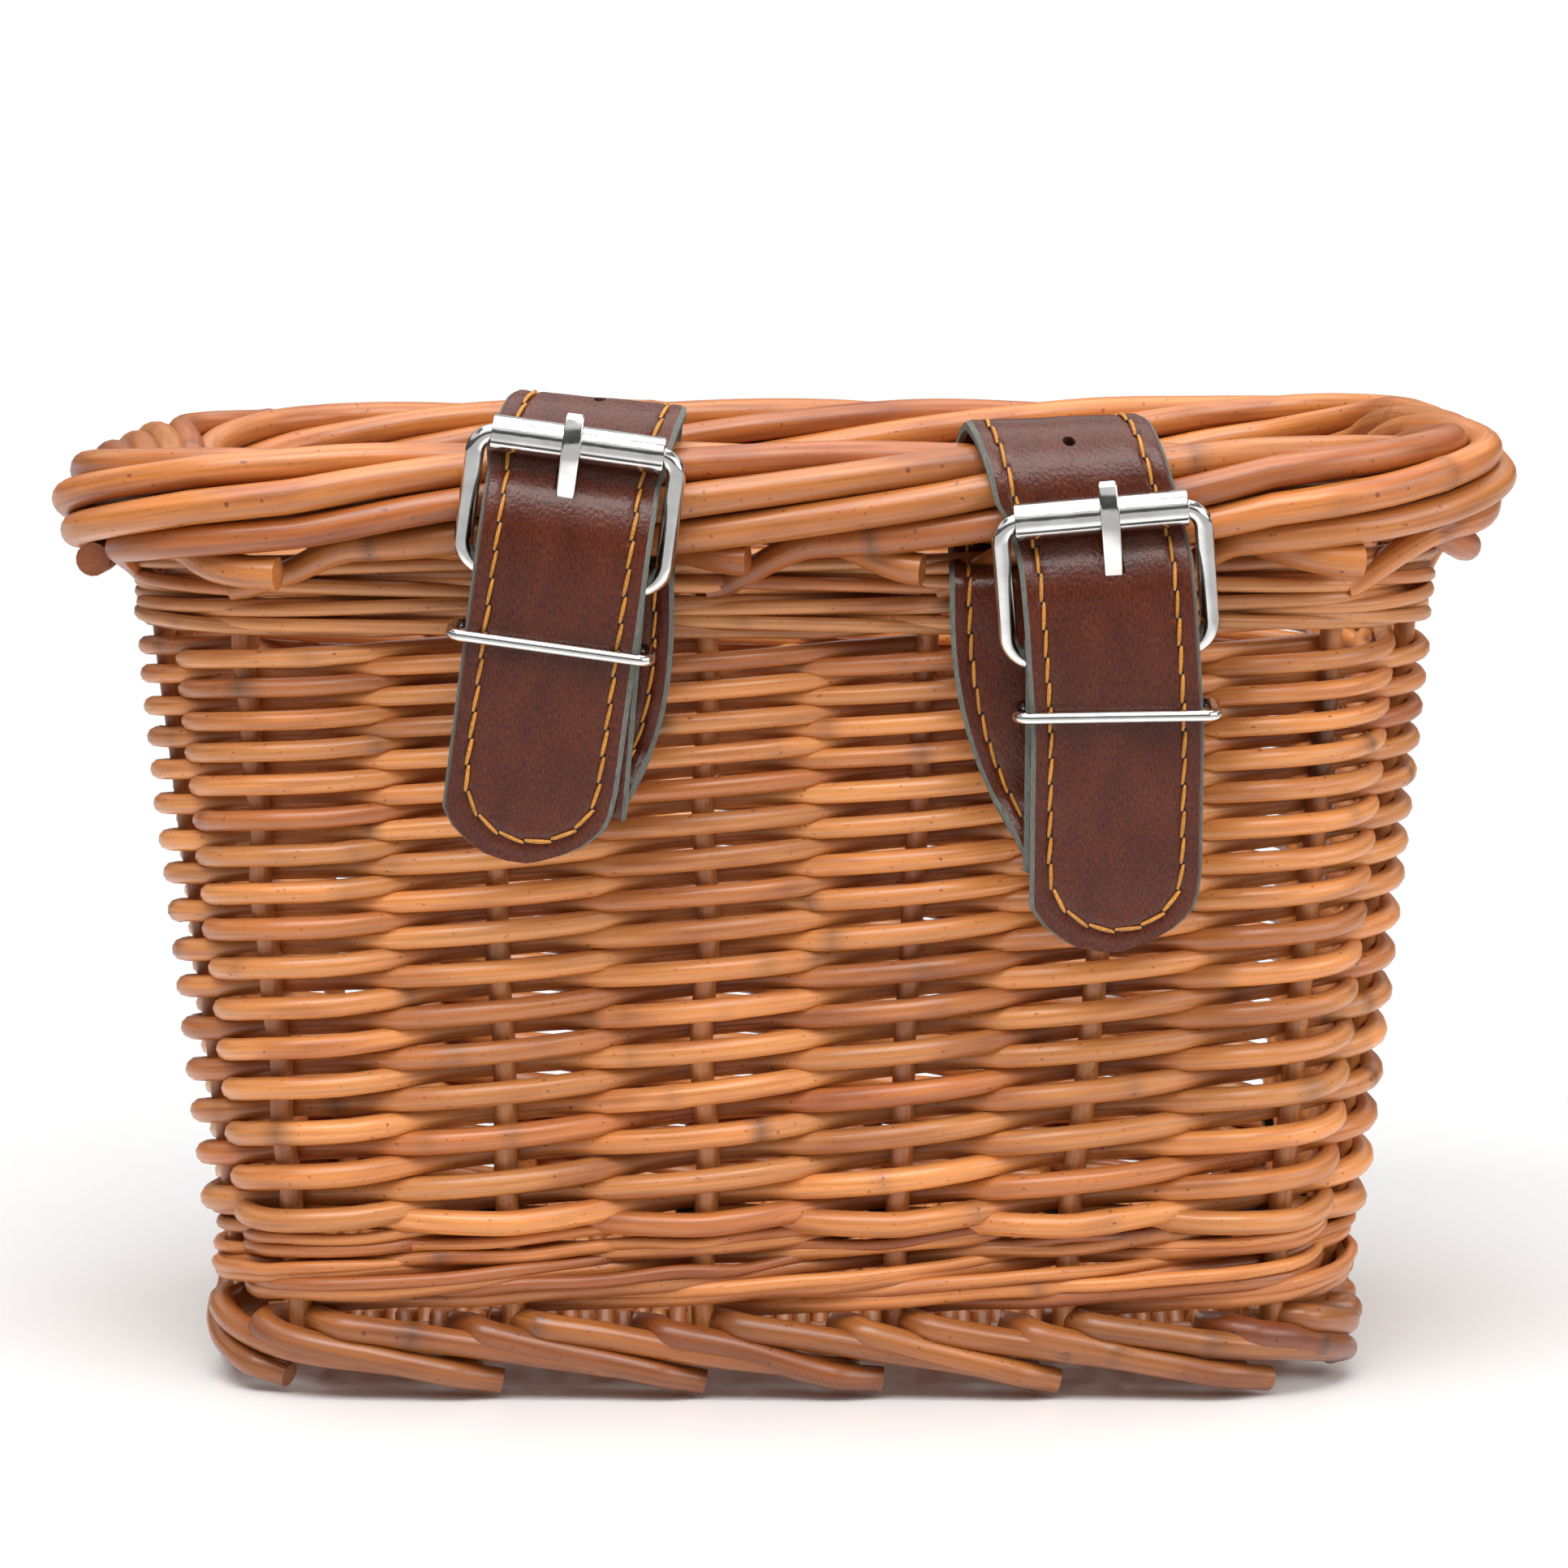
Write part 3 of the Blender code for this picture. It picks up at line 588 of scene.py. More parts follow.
def make_base():
    """Sticks along the base, and fine rods woven across them that turn round the edge sticks."""
    for i, y in enumerate(BASE_STICKS, 1):
        rods = Rods()
        x = np.linspace(-86.0, 86.0, 40)
        path = np.stack([x, np.full_like(x, y + CENTRE_Y), BASE_Z + wobble(len(x), 0.15)], axis=1)
        rods.add(path, 2.0, 12, willow_tint(), knots=1.0)
        piece = rods.write(f"base_rod_{i}", WILLOW)
        attach(piece, "basket", "willow_base", f"base_stick_{i}")
    rods = Rods()
    edges = (-BASE_HALF[1], *BASE_STICKS, BASE_HALF[1])
    for y in (edges[0], edges[-1]):
        x = np.linspace(-78.0, 78.0, 40)
        path = np.stack([x, np.full_like(x, y + CENTRE_Y), np.full_like(x, BASE_Z)], axis=1)
        rods.add(path, 2.0, 12, willow_tint())
    for k in range(BASE_RODS):
        x = mix(-83.0, 83.0, k / (BASE_RODS - 1))
        reach = BASE_HALF[1] if abs(x) < 70.0 else BASE_HALF[1] - 1.5 * (abs(x) - 70.0)
        y = np.linspace(-reach - BASE_TURN, reach + BASE_TURN, 60)
        side = 1.0 if k % 2 else -1.0
        steps = np.interp(y, edges, np.arange(len(edges)))
        z = BASE_Z + side * 2.9 * np.cos(np.pi * steps)
        close = np.minimum(y + reach + BASE_TURN, reach + BASE_TURN - y)
        tuck = np.sqrt(np.clip(close / BASE_TURN, 0.0, 1.0))
        z = np.where(close < BASE_TURN, BASE_Z + (z - BASE_Z) * tuck, z)
        path = np.stack([np.full_like(y, x) + wobble(len(y), 0.2), y + CENTRE_Y, z], axis=1)
        rods.add(path, 1.42, 8, willow_tint(), knots=0.5)
    piece = rods.write("base_weave_rods", WILLOW_FINE)
    attach(piece, "basket", "willow_base", "base_weave")


# ---- the straps' layout

STRAP_HALF, STRAP_T = 13.5, 2.0
LAYER, HEEL_R = 2.3, 2.8
HANG = math.radians(7.0)
SPLIT_DROP, TAB_DROP, SEAM_DROP = 12.4, 11.9, 4.0
OUT = np.array((0.0, -1.0, 0.0))

# Each strap's buckle layout, outwards and upwards from the rim rope's centre.
# sway: where the strap's middle lies along the rim at each height; tilt: its share of the lean there.
# wrap: angle round the rope, distance from its centre, sideways place and share of the lean.
STRAPS = {
    "left": {
        "x": -33.3,
        "bare": 1.0,
        "lean": math.radians(8.0),
        "sway": ((-60.0, -41.65), (15.0, -31.2)),
        "tilt": ((-60.0, 1.0), (15.0, 1.0)),
        "wrap": ((40.0, 12.2, -32.2, 1.0), (90.0, 15.4, -28.9, 0.7), (120.0, 14.6, -29.6, 0.4),
                 (150.0, 12.2, -30.3, 0.1), (180.0, 11.3, -30.8, 0.0), (270.0, 11.3, -30.8, 0.0)),
        "roller": (13.2, 9.7),
        "heel": (10.2, -11.5),
        "bulge": ((11.2, 3.85), (13.6, 1.0), (14.8, -2.0), (15.35, -5.0), (15.45, -8.5)),
        "hole_angle": 88.0,
        "slot_at": (12.2, 2.9),
        "prong_x": -0.9,
        "prong": ((12.3, -7.5), (12.4, -2.5), (13.2, 0.1), (14.5, 2.1), (16.2, 5.6), (16.9, 7.6),
                  (17.05, 9.7), (16.7, 12.3), (16.0, 14.3)),
        "keeper_drop": 10.1,
        "fold": -47.8,
        "fold_x": 1.8,
        "tip": -56.6,
    },
    "right": {
        "x": 49.05,
        "bare": -1.0,
        "lean": math.radians(-5.0),
        "sway": ((-72.0, 52.0), (-34.0, 52.0), (-24.0, 51.25), (-16.0, 50.7), (-9.0, 50.0),
                 (-4.0, 48.9), (2.0, 47.2)),
        "tilt": ((-40.0, 0.0), (-32.0, 0.2), (-24.0, 1.0), (2.0, 1.0)),
        "wrap": ((6.0, 11.3, 47.0, 1.0), (90.0, 12.3, 42.3, 0.45), (130.0, 12.0, 41.1, 0.2),
                 (180.0, 11.3, 39.6, 0.0), (270.0, 11.3, 39.6, 0.0)),
        "roller": (15.3, -1.3),
        "heel": (9.9, -23.5),
        "bulge": ((11.2, -1.5), (11.4, -3.7), (12.4, -6.0), (14.1, -8.9), (15.1, -12.5), (15.3, -17.0)),
        "hole_angle": 50.0,
        "slot_at": (14.3, -9.5),
        "prong_x": 1.2,
        "prong": ((12.2, -18.0), (12.9, -14.5), (14.1, -12.1), (15.3, -10.4), (18.1, -5.5), (19.0, -1.6),
                  (18.8, 1.6), (18.1, 3.9)),
        "keeper_drop": 8.8,
        "fold": -57.5,
        "fold_x": -0.8,
        "tip": -70.5,
    },
}


def on_circle(centre, radius, degrees):
    turn = math.radians(degrees)
    return centre[0] + radius * math.cos(turn), centre[1] + radius * math.sin(turn)


def arc(centre, radius, start, stop, steps):
    return [on_circle(centre, radius, mix(start, stop, i / steps)) for i in range(steps + 1)]


class Lay:
    """One strap's layout, turned from side-view places into points."""

    def __init__(self, name, data):
        self.name, self.data = name, data
        self.heel = np.array(data["heel"])
        self.down = np.array((-math.sin(HANG), -math.cos(HANG)))

    def axes(self, share=1.0):
        lean = self.data["lean"] * share
        across = np.array((math.cos(lean), 0.0, -math.sin(lean)))
        upward = np.array((math.sin(lean), 0.0, math.cos(lean)))
        return across, OUT, upward

    def place(self, p, q, across=0.0):
        side, out, up = self.axes()
        middle = np.array((self.data["x"], CENTRE_Y - RIM_SIZE[1], RIM_Z))
        return middle + p * out + q * up + across * side

    def buckle(self):
        """The roller's place, the way to it from the heel bar, and that way's direction in space."""
        _, out, up = self.axes()
        top = np.array(self.data["roller"])
        tall = top - self.heel
        return top, tall, (out * tall[0] + up * tall[1]) / np.linalg.norm(tall)

    def front(self, drop):
        return self.heel + (HEEL_R + LAYER, 0.0) + drop * self.down

    def inner(self, drop):
        return self.heel + (HEEL_R, 0.0) + drop * self.down

    def sway(self, q):
        """Where the strap's middle lies along the rim at a height, and its share of the lean there."""
        return between(self.data["sway"], q)[0], between(self.data["tilt"], q)[0]

    def flat(self, places):
        return [(p, q, *self.sway(q), STRAP_HALF) for p, q in places]

    def wrap_place(self, angle):
        """Side-view place, sideways place, share of the lean and half width over the rim rope."""
        radius, x, share = between(self.data["wrap"], angle)
        _, ahead, _ = between(self.data["wrap"], angle + 5.0)
        slope = math.atan2(ahead - x, math.radians(5.0) * radius)
        return (*on_circle((0.0, 0.0), radius, angle), x, share, STRAP_HALF / math.cos(slope))

    def rear(self):
        """Down the rear layer from under the rope to the fold."""
        fold = self.data["fold"]
        low_r, slot_x, _ = self.data["wrap"][-1][1:]
        fold_p = self.inner((self.heel[1] - fold - 1.3) / math.cos(HANG))[0]
        places = arc((0.0, -low_r - 3.0), 3.0, 70.0, 0.0, 4)
        places += [(3.1, -24.0), (3.2, mix(-14.0, fold, 0.5)), (2.8, mix(-14.0, fold, 0.75)),
                   (fold_p - 2.7, fold + 3.5)]
        places += arc((fold_p - 1.3, fold + 1.3), 1.3, 180.0, 360.0, 4)
        rows = []
        for p, q in places:
            share = min(1.0, max(0.0, (-14.0 - q) / (-16.0 - fold))) ** 2.4
            middle, tilt = self.sway(q)
            rows.append((p, q, mix(slot_x, middle + self.data["fold_x"], share), tilt * share, STRAP_HALF))
        return rows

    def stations(self):
        """The whole strap's middle line: tip, front, over the rim, rear, fold and round the heel bar."""
        data = self.data
        end = (self.heel[1] - data["tip"]) / math.cos(HANG)
        places = [self.front(mix(end, SPLIT_DROP, i / 4)) for i in range(5)]
        places += [self.front(6.0), self.front(2.0), self.front(0.0), *reversed(data["bulge"])]
        rows = self.flat(places)
        start = data["wrap"][0][0]
        angles = [mix(start, 90.0, i / 6) for i in range(6)] + [90.0 + 15.0 * i for i in range(13)]
        rows += [self.wrap_place(angle) for angle in angles] + self.rear()
        fold, top = rows[-1], self.flat([self.inner(0.0)])[0]
        rows += [tuple(mix(a, b, share) for a, b in zip(fold, top)) for share in (0.05, 0.5, 0.95)]
        behind = np.array((LAYER, 0.0))
        heel = [self.inner(0.0), *arc(data["heel"], HEEL_R, 30.0, 180.0, 5)]
        heel += [self.heel - (HEEL_R - 0.5, 2.0), self.inner(5.2) - behind, self.inner(TAB_DROP) - behind]
        return rows + self.flat(heel)


def between(keys, at):
    """The values at a place along keys, each a place followed by its values."""
    if at <= keys[0][0]:
        return keys[0][1:]
    for low, high in zip(keys, keys[1:]):
        if at <= high[0]:
            share = (at - low[0]) / (high[0] - low[0])
            return tuple(mix(a, b, share) for a, b in zip(low[1:], high[1:]))
    return keys[-1][1:]


def curve_through(points, spacing):
    """A smooth curve through points, whose first two columns set its length, in steps of about spacing."""
    points = np.asarray(points, float)
    gap = np.hypot(*np.diff(points[:, :2], axis=0).T)[:, None]
    knots = np.concatenate([[0.0], np.cumsum(gap)])
    slope = np.diff(points, axis=0) / gap
    inside = (slope[:-1] * gap[1:] + slope[1:] * gap[:-1]) / (gap[1:] + gap[:-1])
    tangent = np.vstack([slope[:1], inside, slope[-1:]])
    at = np.linspace(0.0, knots[-1], int(knots[-1] / spacing) + 1)
    i = np.clip(np.searchsorted(knots, at, "right") - 1, 0, len(gap) - 1)
    size, f = gap[i], ((at - knots[i]) / gap[i][:, 0])[:, None]
    return ((1 + 2 * f) * (1 - f) ** 2 * points[i] + f * (1 - f) ** 2 * size * tangent[i]
            + f * f * (3 - 2 * f) * points[i + 1] + f * f * (f - 1) * size * tangent[i + 1])


class Ribbon:
    """A strap's middle surface: s runs along it from the tip, a across it, and b out of its outer face."""

    def __init__(self, lay):
        self.lay = lay
        line = curve_through(lay.stations(), 0.25)
        step = np.gradient(line[:, :2], axis=0)
        step /= np.linalg.norm(step, axis=1)[:, None]
        middle, across, outer = [], [], []
        for (p, q, x, share, half), (dp, dq) in zip(line, step):
            side, out, up = lay.axes(share)
            middle.append((x, CENTRE_Y - RIM_SIZE[1] - p, RIM_Z + q * lay.axes()[2][2]))
            across.append(side * half / STRAP_HALF)
            outer.append(dq * out - dp * up)
        self.rows = np.hstack([middle, across, outer])
        self.s = np.concatenate([[0.0], np.cumsum(np.hypot(*np.diff(line[:, :2], axis=0).T))])
        self.side_view = line[:, :2]

    def at(self, s, a, b):
        rows = np.stack([np.interp(s, self.s, column) for column in self.rows.T], axis=-1)
        outer = rows[..., 6:] / np.linalg.norm(rows[..., 6:], axis=-1)[..., None]
        return rows[..., :3] + rows[..., 3:6] * np.asarray(a)[..., None] + outer * np.asarray(b)[..., None]

    def nearest(self, p, q):
        """How far along the strap its middle is nearest to that side-view place, before the rim's crest."""
        miss = np.hypot(*(self.side_view - (p, q)).T)
        miss[self.s > self.crest()] = 1e9
        return self.s[int(np.argmin(miss))]

    def crest(self):
        return self.s[int(np.argmax(self.side_view[:, 1]))]


# ---- leather and thread

TIP_LEFT = np.array(((0.0, 2.4), (0.6, 6.0), (2.1, 8.7), (4.3, 11.5), (7.0, 13.4), (7.8, 13.5)))
TIP_RIGHT = np.array(((0.0, 0.8), (0.6, 2.9), (2.1, 6.4), (3.7, 9.1), (5.4, 11.0), (7.0, 12.3),
                      (9.5, 13.1), (12.9, 13.5)))
SEAM, SEAM_TURN, SEAM_TIP, STITCH = 10.4, 12.9, 3.4, 4.25
HOLE_R, SLOT_HALF = 0.95, (2.1, 1.5)


def tip_width(s, a):
    """Pulls the place a across the strap in to the rounded tip's outline."""
    left = np.interp(s, TIP_LEFT[:, 0], TIP_LEFT[:, 1])
    right = np.interp(s, TIP_RIGHT[:, 0], TIP_RIGHT[:, 1])
    return np.where(a < 0.0, a * left, a * right) / STRAP_HALF


def seam_line(length):
    """The stitched line as places (s, a): up the left side, round the tip and back along the right side."""
    turn = np.linspace(0.0, math.pi, 60)
    bend = np.stack([SEAM_TURN - (SEAM_TURN - SEAM_TIP) * np.sin(turn), -SEAM * np.cos(turn)], axis=1)
    return np.vstack([[(length - 1.0, -SEAM)], bend, [(length - 1.0, SEAM)]])


def stitch_holes(length):
    """Evenly spaced places along the stitched line."""
    line = seam_line(length)
    along = np.concatenate([[0.0], np.cumsum(np.hypot(*np.diff(line, axis=0).T))])
    count = int(along[-1] / STITCH)
    at = np.linspace(0.0, along[-1], count + 1)
    return np.stack([np.interp(at, along, line[:, 0]), np.interp(at, along, line[:, 1])], axis=1)


def seam_distance(s, a):
    straight = np.abs(np.abs(a) - SEAM)
    spread = np.hypot((s - SEAM_TURN) / (SEAM_TURN - SEAM_TIP), a / SEAM)
    return np.where(s > SEAM_TURN, straight, np.abs(spread - 1.0) * SEAM * 0.95)


def face_columns(bare):
    """Places across the strap, close together at the seams and holes, and which show the cut edge."""
    near = [SEAM + d for d in (-2.1, -1.4, -0.95, -0.6, -0.3, 0.0, 0.3, 0.6, 0.95, 1.4, 2.1)]
    middle = [0.32, 0.64, 0.95, 1.4, 1.9, 2.8, 4.0, 5.3, 6.6, 7.6]
    right = [*middle, *near, 12.72, 12.78]
    columns = np.array([-c for c in reversed(right)] + [0.0] + right)
    return columns, np.where(columns * bare > 12.75, 1.0, 0.0)


def leather_height(s, a, holes, sign, seed):
    """How far the face stands off the middle: a groove along the seam, dimples at its holes, unevenness."""
    height = np.full(s.shape, STRAP_T / 2)
    away = seam_distance(s, a)
    height -= 0.20 * np.exp(-((away / 0.62) ** 2))
    height += 0.05 * np.exp(-(((away - 1.5) / 0.7) ** 2))
    for hole_s, hole_a in holes:
        near = (np.abs(s - hole_s) < 3.0) & (np.abs(a - hole_a) < 3.0)
        gap = np.hypot(s[near] - hole_s, a[near] - hole_a)
        height[near] -= 0.22 * np.exp(-((gap / 0.5) ** 2)) + 0.07 * np.exp(-((gap / 1.5) ** 2))
    for wave in range(6):
        turn = seed.uniform(0.0, 2 * math.pi)
        pace = seed.uniform(0.12, 0.65)
        way = s * math.cos(turn) + 1.4 * a * math.sin(turn)
        height += 0.022 * np.sin(pace * way + seed.uniform(0.0, 6.0))
    edge = np.clip((np.abs(a) - 12.6) / 0.9, 0.0, 1.0)
    return sign * (height - 0.3 * edge**2)


def strap_rows(low, high, punched):
    """Places along the strap, close together at the tip and over the punched holes."""
    rows = np.append(np.arange(low, high, 0.55), high)
    if low == 0.0:
        rows = np.append(rows[rows > 3.2], (0.0, 0.08, 0.22, 0.42, 0.7, 1.05, 1.45, 1.9, 2.4, 2.95))
    for s, half_s, _, _, _ in punched:
        rows = rows[np.abs(rows - s) > half_s + 0.2]
        rows = np.append(rows, s + np.linspace(-half_s, half_s, 7))
    return np.sort(rows)


def strap_section(bare):
    """Round the strap: places across it, which face each is on, and how far the cut edge shows there."""
    columns, shown = face_columns(bare)
    edge_b = np.array((0.62, 0.2, -0.2, -0.62))
    ones = np.ones(len(columns))
    a = np.concatenate([columns, np.full(4, STRAP_HALF), columns[::-1], np.full(4, -STRAP_HALF)])
    face = np.concatenate([ones, edge_b, -ones, -edge_b])
    edge = np.concatenate([shown, np.ones(4), shown[::-1], np.ones(4)])
    return len(columns), a, face, edge


def make_leather(name, ribbon, low, high, holes, punched, seed):
    """The strap between two places along it, with its stitched groove, cut edges and punched holes."""
    rows = strap_rows(low, high, punched)
    count, across, face, edge = strap_section(ribbon.lay.data["bare"])
    s, a = np.meshgrid(rows, across, indexing="ij")
    wide = tip_width(s, a)
    opened = set()
    for hole_s, half_s, hole_a, half_a, is_round in punched:
        ds = s - hole_s
        if is_round:
            block = (np.abs(ds) < half_s + 0.05) & (np.abs(a) < half_a + 0.05)
            shrink = np.maximum(np.abs(ds), np.abs(a)) / np.maximum(np.hypot(ds, a), 1e-6)
            s = np.where(block, hole_s + ds * shrink, s)
            wide = np.where(block, a * shrink, wide)
        for i in np.nonzero(np.abs((rows[:-1] + rows[1:]) / 2 - hole_s) < half_s)[0]:
            for j in np.nonzero(np.abs((across[:count - 1] + across[1:count]) / 2 - hole_a) < half_a)[0]:
                opened.add((int(i), int(j)))
    b = np.tile(face * STRAP_T / 2, (len(rows), 1))
    for sign, part in ((1.0, slice(0, count)), (-1.0, slice(count + 4, 2 * count + 4))):
        chance = np.random.default_rng(seed + int(sign))
        b[:, part] = leather_height(s[:, part], wide[:, part], holes, sign, chance)
    points = ribbon.at(s, wide, b)
    size = len(across)
    mirrored = {(i, 2 * count + 2 - j) for i, j in opened}
    cells = [(i, j) for i in range(len(rows) - 1) for j in range(size)]
    faces = [(i * size + j, i * size + (j + 1) % size, (i + 1) * size + (j + 1) % size, (i + 1) * size + j)
             for i, j in cells if (i, j) not in opened and (i, j) not in mirrored]
    faces += hole_walls(opened, size, count)
    faces.append(tuple(range(size))[::-1])
    faces.append(tuple((len(rows) - 1) * size + j for j in range(size)))
    body = new_object(name, points.reshape(-1, 3), faces, LEATHER, 50)
    paint(body, "hide", "FLOAT_VECTOR", np.stack([s, wide + 60.0 * face, b], axis=-1))
    paint(body, "edge", "FLOAT", np.tile(edge, len(rows)))
    return body


def hole_walls(opened, size, count):
    """Walls between the outer and inner faces round every punched hole."""
    walls = []
    for i, j in sorted(opened):
        sides = (((i, j), (i, j + 1), (i - 1, j)), ((i, j + 1), (i + 1, j + 1), (i, j + 1)),
                 ((i + 1, j + 1), (i + 1, j), (i + 1, j)), ((i + 1, j), (i, j), (i, j - 1)))
        for (row, column), (next_row, next_column), neighbour in sides:
            if neighbour not in opened:
                walls.append((row * size + column, next_row * size + next_column,
                              next_row * size + 2 * count + 3 - next_column,
                              row * size + 2 * count + 3 - column))
    return walls


def make_stitches(name, ribbon, low, high, holes, seed):
    """Waxed thread between neighbouring holes, on both faces of the strap between two places along it, and a
    near-black capsule in each hole as painted shade inside it.
    """
    rods = Rods()
    chance = np.random.default_rng(seed)
    f = np.linspace(0.02, 0.98, 9)
    for (s0, a0), (s1, a1) in zip(holes, holes[1:]):
        middle = (s0 + s1) / 2
        if not low <= middle < high:
            continue
        way = np.array((s1 - s0, a1 - a0)) / math.hypot(s1 - s0, a1 - a0)
        for sign in (1.0, -1.0):
            slant = (f - 0.5) * 0.42 * sign
            s = mix(s0, s1, f) - way[1] * slant
            a = mix(a0, a1, f) + way[0] * slant
            lift = STRAP_T / 2 - 0.34 + (0.40 if sign > 0.0 else 0.22) * np.sin(np.pi * f) ** 0.55
            thick = 0.33 * (0.75 + 0.25 * np.sin(np.pi * f)) * chance.uniform(0.92, 1.08)
            tint = THREAD_GOLD * chance.uniform(0.82, 1.12)
            rods.add(ribbon.at(s, a, sign * lift), thick, 8, tint, knots=0.0)
    # A near-black capsule in every stitch hole on both faces: painted shade inside the hole.
    for s, a in holes:
        if not low <= s < high:
            continue
        for sign in (1.0, -1.0):
            turn = np.linspace(-0.5, 0.5, 5)
            path = ribbon.at(s + turn * 0.5, np.full(5, a), np.full(5, sign * (STRAP_T / 2 - 0.36)))
            rods.add(path, 0.36, 8, PAINTED_HOLE_SHADE, knots=0.0)
    return rods.write(name, THREAD)


# ---- plated wire

FRAME_HALF, FRAME_BENDS, FRAME_WIRE_R = 15.8, (3.3, 4.4), 1.5
KEEPER_HALF, KEEPER_WIRE_R = (15.5, 4.6), 0.95
ROLLER_SIDES, ROLLER_SEAM = 72, 22


def sweep(name, rings, material, closed, sharp=45):
    """A skin over rings of points in millimetres."""
    rings = np.asarray(rings, float)
    count, size = rings.shape[:2]
    spans = count if closed else count - 1
    faces = [(i * size + j, i * size + (j + 1) % size, (i + 1) % count * size + (j + 1) % size,
              (i + 1) % count * size + j) for i in range(spans) for j in range(size)]
    if not closed:
        faces.append(tuple(range(size))[::-1])
        faces.append(tuple((count - 1) * size + j for j in range(size)))
    return new_object(name, rings.reshape(-1, 3), faces, material, sharp)


def section(shape, frames):
    """Places a flat shape of (u, v) points on every (point, u axis, v axis) frame."""
    return [[p + u * a + v * b for a, b in shape] for p, u, v in frames]


def disc(radius, sides):
    turn = 2 * np.pi * np.arange(sides) / sides
    return np.stack([radius * np.cos(turn), radius * np.sin(turn)], axis=1)


def bar(half_u, half_v, corner, steps=4):
    """A rectangle's outline with rounded corners."""
    points = []
    for k, (su, sv) in enumerate(((1, 1), (-1, 1), (-1, -1), (1, -1))):
        for step in range(steps + 1):
            turn = math.pi / 2 * (k + step / steps)
            points.append((su * (half_u - corner) + corner * math.cos(turn),
                           sv * (half_v - corner) + corner * math.sin(turn)))
    return points


def wire_loop(name, middle, a, b, half_a, half_b, corners, radius):
    """A closed wire bent to a rectangle on the axes a and b; corners are its top and bottom bend radii."""
    top, bottom = corners
    frames = []
    for k, (sa, sb, bend) in enumerate(((1, 1, top), (-1, 1, top), (-1, -1, bottom), (1, -1, bottom))):
        for step in range(13):
            turn = math.pi / 2 * (k + step / 12)
            outward = a * math.cos(turn) + b * math.sin(turn)
            centre = middle + a * sa * (half_a - bend) + b * sb * (half_b - bend)
            frames.append((centre + outward * bend, outward, np.cross(a, b)))
    return sweep(name, section(disc(radius, 20), frames), NICKEL, True)


def make_frame(lay):
    """The buckle's wire frame; its top bar runs inside the roller and its bottom bar in the strap's end."""
    top, tall, along = lay.buckle()
    middle = lay.place(*((top + lay.heel) / 2))
    half = (FRAME_HALF, np.linalg.norm(tall) / 2)
    name = f"{lay.name}_buckle_wire"
    piece = wire_loop(name, middle, lay.axes()[0], along, *half, FRAME_BENDS, FRAME_WIRE_R)
    attach(piece, f"{lay.name}_strap_loop", "buckle_nickel", f"{lay.name}_buckle_frame")


def make_roller(lay):
    """A tube rolled from sheet, with soft ends and a seam along its back."""
    across = lay.axes()[0]
    top, _, along = lay.buckle()
    facing = np.cross(across, along)
    centre = lay.place(*top)
    walls = ((-10.5, 2.3), (-13.42, 2.35), (-13.5, 2.45), (-13.5, 2.72), (-13.42, 2.84), (-13.2, 2.9),
             (-6.5, 2.9), (0.0, 2.88), (6.5, 2.9), (13.2, 2.9), (13.42, 2.84), (13.5, 2.72), (13.5, 2.45),
             (13.42, 2.35), (10.5, 2.3))
    sides = np.arange(ROLLER_SIDES)
    turn = 2 * np.pi * sides / ROLLER_SIDES
    seam = 1.0 - 0.07 * (sides == ROLLER_SEAM)
    rings = []
    for x, radius in walls:
        reach = (np.cos(turn)[:, None] * along + np.sin(turn)[:, None] * facing) * (radius * seam)[:, None]
        rings.append(centre + across * x + reach)
    piece = sweep(f"{lay.name}_roller_tube", rings, NICKEL_ROLLED, True, 40)
    attach(piece, f"{lay.name}_roller", "buckle_nickel", f"{lay.name}_buckle_roller")


def make_prong(lay):
    """A flat tongue curled round the heel bar, up through the strap and over the roller."""
    across, out, up = lay.axes()
    line = curve_through(arc(lay.data["heel"], 2.4, 150.0, 360.0, 9) + list(lay.data["prong"]), 0.35)
    step = np.gradient(line, axis=0)
    step /= np.linalg.norm(step, axis=1)[:, None]
    frames = []
    for (p, q), (dp, dq) in zip(line, step):
        frames.append((lay.place(p, q, lay.data["prong_x"]), across, -dq * out + dp * up))
    frames = [(frames[0][0], frames[0][1] * 0.8, frames[0][2] * 0.6), *frames[1:-2],
              (frames[-1][0], frames[-1][1] * 0.88, frames[-1][2] * 0.7)]
    piece = sweep(f"{lay.name}_prong_tongue", section(bar(1.5, 0.6, 0.38), frames), NICKEL, False, 50)
    attach(piece, f"{lay.name}_prong", "buckle_nickel", f"{lay.name}_buckle_prong")


def make_keeper(lay):
    """The wire ring that holds the free end against the strap behind it."""
    drop = lay.data["keeper_drop"]
    p, q = (lay.front(drop) + lay.inner(drop) - (LAYER, 0.0)) / 2
    x, tilt = lay.sway(q)
    across, out, up = lay.axes(tilt)
    facing = out * math.cos(HANG) - up * math.sin(HANG)
    middle = np.array((x, CENTRE_Y - RIM_SIZE[1] - p, RIM_Z + q * lay.axes()[2][2]))
    name = f"{lay.name}_keeper_wire"
    piece = wire_loop(name, middle, across, facing, *KEEPER_HALF, (1.9, 1.9), KEEPER_WIRE_R)
    attach(piece, f"{lay.name}_keeper_ring", "buckle_nickel", f"{lay.name}_keeper")


